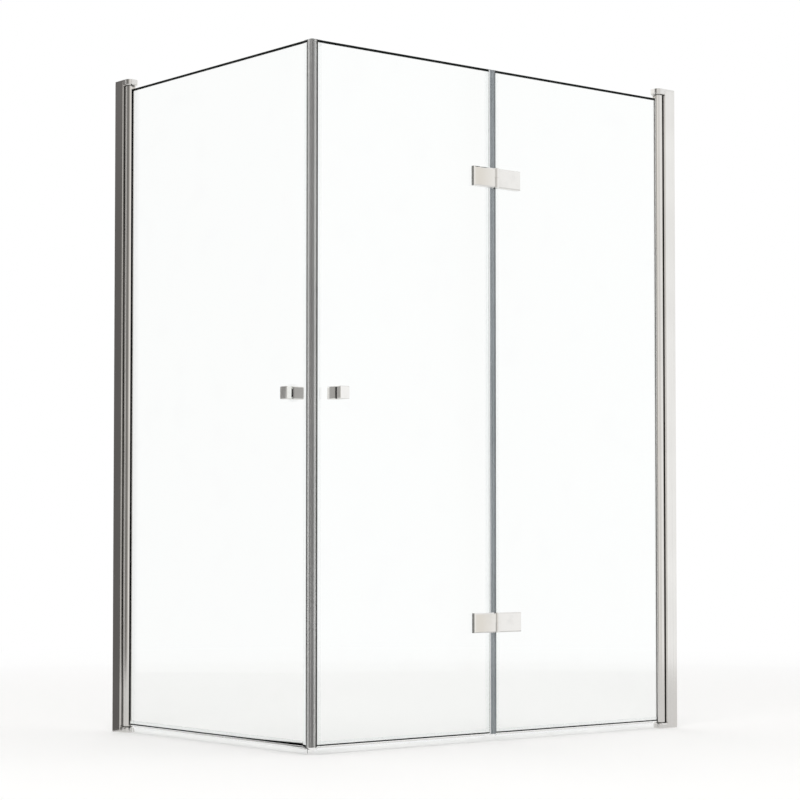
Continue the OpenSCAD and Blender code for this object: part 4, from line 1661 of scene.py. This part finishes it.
@dataclass(frozen=True)
class Studio:
    """Camera, lamps, floor and surroundings, in metres and degrees."""

    camera_place: Triple = (-3.08668, -3.77929, 0.42358)
    camera_turn: float = -39.297
    camera_tilt: float = 2.1787
    lens: float = 101.183
    shift: float = 0.06
    far_clip: float = 100.0
    floor_size: float = 24.0
    room_radius: float = 2.6
    room_height: float = 5.0
    room_sides: int = 96
    wall_y: float = 0.3536
    wall_height: float = 2.6
    discs: tuple = (
        ("studio_ceiling", (0.30, 0.295, 0.29), 5.0),
        ("studio_ground", (0.72, 0.71, 0.695), 0.002),
    )
    flags: tuple = (
        ("side_knob_flag", (0.24, 0.234, 0.226), (-0.957, 0.3536, 0.745), 0.011, 0.020, True),
        ("inner_knob_flag", (0.33, 0.32, 0.31), (-0.445, -0.31, 0.70), 0.015, 0.016, True),
        ("upper_hinge_flag", (0.17, 0.17, 0.16), (-0.162, -0.25, 1.174), 0.010, 0.03, False),
        ("lower_hinge_flag", (0.17, 0.17, 0.16), (-0.162, -0.25, 0.237), 0.010, 0.03, False),
    )
    world_light: float = 0.62
    aim: Triple = (0.0, 0.0, 0.6)
    lamps: tuple = (
        ("key_lamp", (-2.6, -2.4, 3.2), 55.0, 2.4),
        ("fill_lamp", (2.6, -2.8, 2.4), 22.0, 2.6),
        ("back_lamp", (1.2, 3.0, 3.0), 18.0, 2.0),
    )

    def build(self) -> None:
        """Sets up the whole studio."""
        self.set_camera()
        self.hang_lamps()
        add_plane = bpy.ops.mesh.primitive_plane_add
        floor = Workpiece.add("studio_floor", add_plane, size=self.floor_size).item
        floor.data.materials.append(PaleFloor("studio_floor").material())
        self.hang_surroundings()
        self.light_world()
        bpy.context.scene.view_settings.view_transform = "Standard"

    def set_camera(self) -> None:
        """Places the camera where the picture was taken from."""
        bpy.ops.object.select_all(action="DESELECT")
        turn = (math.radians(90 + self.camera_tilt), 0.0, math.radians(self.camera_turn))
        bpy.ops.object.camera_add(location=self.camera_place, rotation=turn)
        camera = bpy.context.object
        camera.data.lens = self.lens
        camera.data.shift_y = self.shift
        camera.data.clip_end = self.far_clip
        bpy.context.scene.camera = camera

    def hang_lamps(self) -> None:
        """Hangs the soft area lamps and points them at the screen."""
        for name, place, power, size in self.lamps:
            bpy.ops.object.select_all(action="DESELECT")
            bpy.ops.object.light_add(type="AREA", location=place)
            lamp = bpy.context.object
            lamp.name, lamp.data.energy, lamp.data.size = name, power, size
            for ray in ("camera", "glossy", "transmission"):
                setattr(lamp, f"visible_{ray}", False)
            way = Vector(self.aim) - Vector(place)
            lamp.rotation_euler = way.to_track_quat("-Z", "Y").to_euler()

    def hang_surroundings(self) -> None:
        """Hangs the room, rear wall, ceiling, ground and flags that only reflections see."""
        ring = {"vertices": self.room_sides, "radius": self.room_radius}
        open_ends = {"end_fill_type": "NOTHING", "depth": self.room_height}
        add_ring, add_plane = bpy.ops.mesh.primitive_cylinder_add, bpy.ops.mesh.primitive_plane_add
        middle = (0, 0, self.room_height / 2)
        self.hang(RoomSweep("studio_room"), add_ring, location=middle, **ring, **open_ends)
        wall = WallSweep("studio_wall")
        start, reach = wall.span()
        middle = (start + reach / 2, self.wall_y, self.wall_height / 2)
        size = (reach, self.wall_height, 1.0)
        self.hang(wall, add_plane, size, size=1.0, location=middle, rotation=STAND)
        for name, tone, height in self.discs:
            disc = {"fill_type": "NGON", "location": (0, 0, height)}
            self.hang(Cloth(name, shade(*tone)), bpy.ops.mesh.primitive_circle_add, **ring, **disc)
        for name, tone, place, half_width, half_height, seen in self.flags:
            size, upright = (half_width, half_height, 1.0), {"location": place, "rotation": STAND}
            flag = self.hang(Cloth(name, shade(*tone)), add_plane, size, size=2.0, **upright)
            flag.visible_glossy = seen  # the others are only seen through a pane

    @staticmethod
    def hang(
        finish: Finish, make: Callable, scale: Triple = (1.0, 1.0, 1.0), **options: Any
    ) -> bpy.types.Object:
        """Makes a backdrop that only polished surfaces see.

        Args:
            finish: Its finish, which also names it.
            make: The operator of its shape.
            scale: How many times as large it gets along its own axes.
            options: The operator's settings.

        Returns:
            The backdrop.
        """
        backdrop = Workpiece.add(finish.title, make, scale, **options).item
        backdrop.data.materials.append(finish.material())
        for ray in ("camera", "diffuse", "shadow", "volume_scatter"):
            setattr(backdrop, f"visible_{ray}", False)
        return backdrop

    def light_world(self) -> None:
        """Lights the world plainly, and white where it is seen."""
        world = bpy.context.scene.world = bpy.data.worlds.new("studio_world")
        world.use_nodes = True
        desk = NodeDesk(world.node_tree)
        strength = self.world_light + seen_rays(desk) * (1.0 - self.world_light)
        glow = desk.signal("ShaderNodeBackground", {"Color": WHITE, "Strength": strength})
        desk.node("ShaderNodeOutputWorld", {"Surface": glow})


def main() -> None:
    """Builds the screen around the frame, part by part."""
    logging.basicConfig(level=logging.INFO, format="%(name)s: %(message)s")
    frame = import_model()
    side_low, side_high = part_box("side_glass")
    door_low, door_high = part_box("door_glass")
    Workpiece.corner = Vector(((side_low.x + side_high.x) / 2, (door_low.y + door_high.y) / 2, 0.0))
    Workpiece.walls = {
        side: (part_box(f"{side.value}_wall_profile")[1] - Workpiece.corner)[axis] / MM
        for axis, side in enumerate((Side.FRONT, Side.SIDE))
    }
    Studio().build()
    WallChannel().build()
    PivotTube().build()
    Panes().build()
    Seals().build()
    FoldHinge().build()
    Knobs().build()
    CarriedOver().dress(frame["nodes"])


if __name__ == "__main__":
    main()
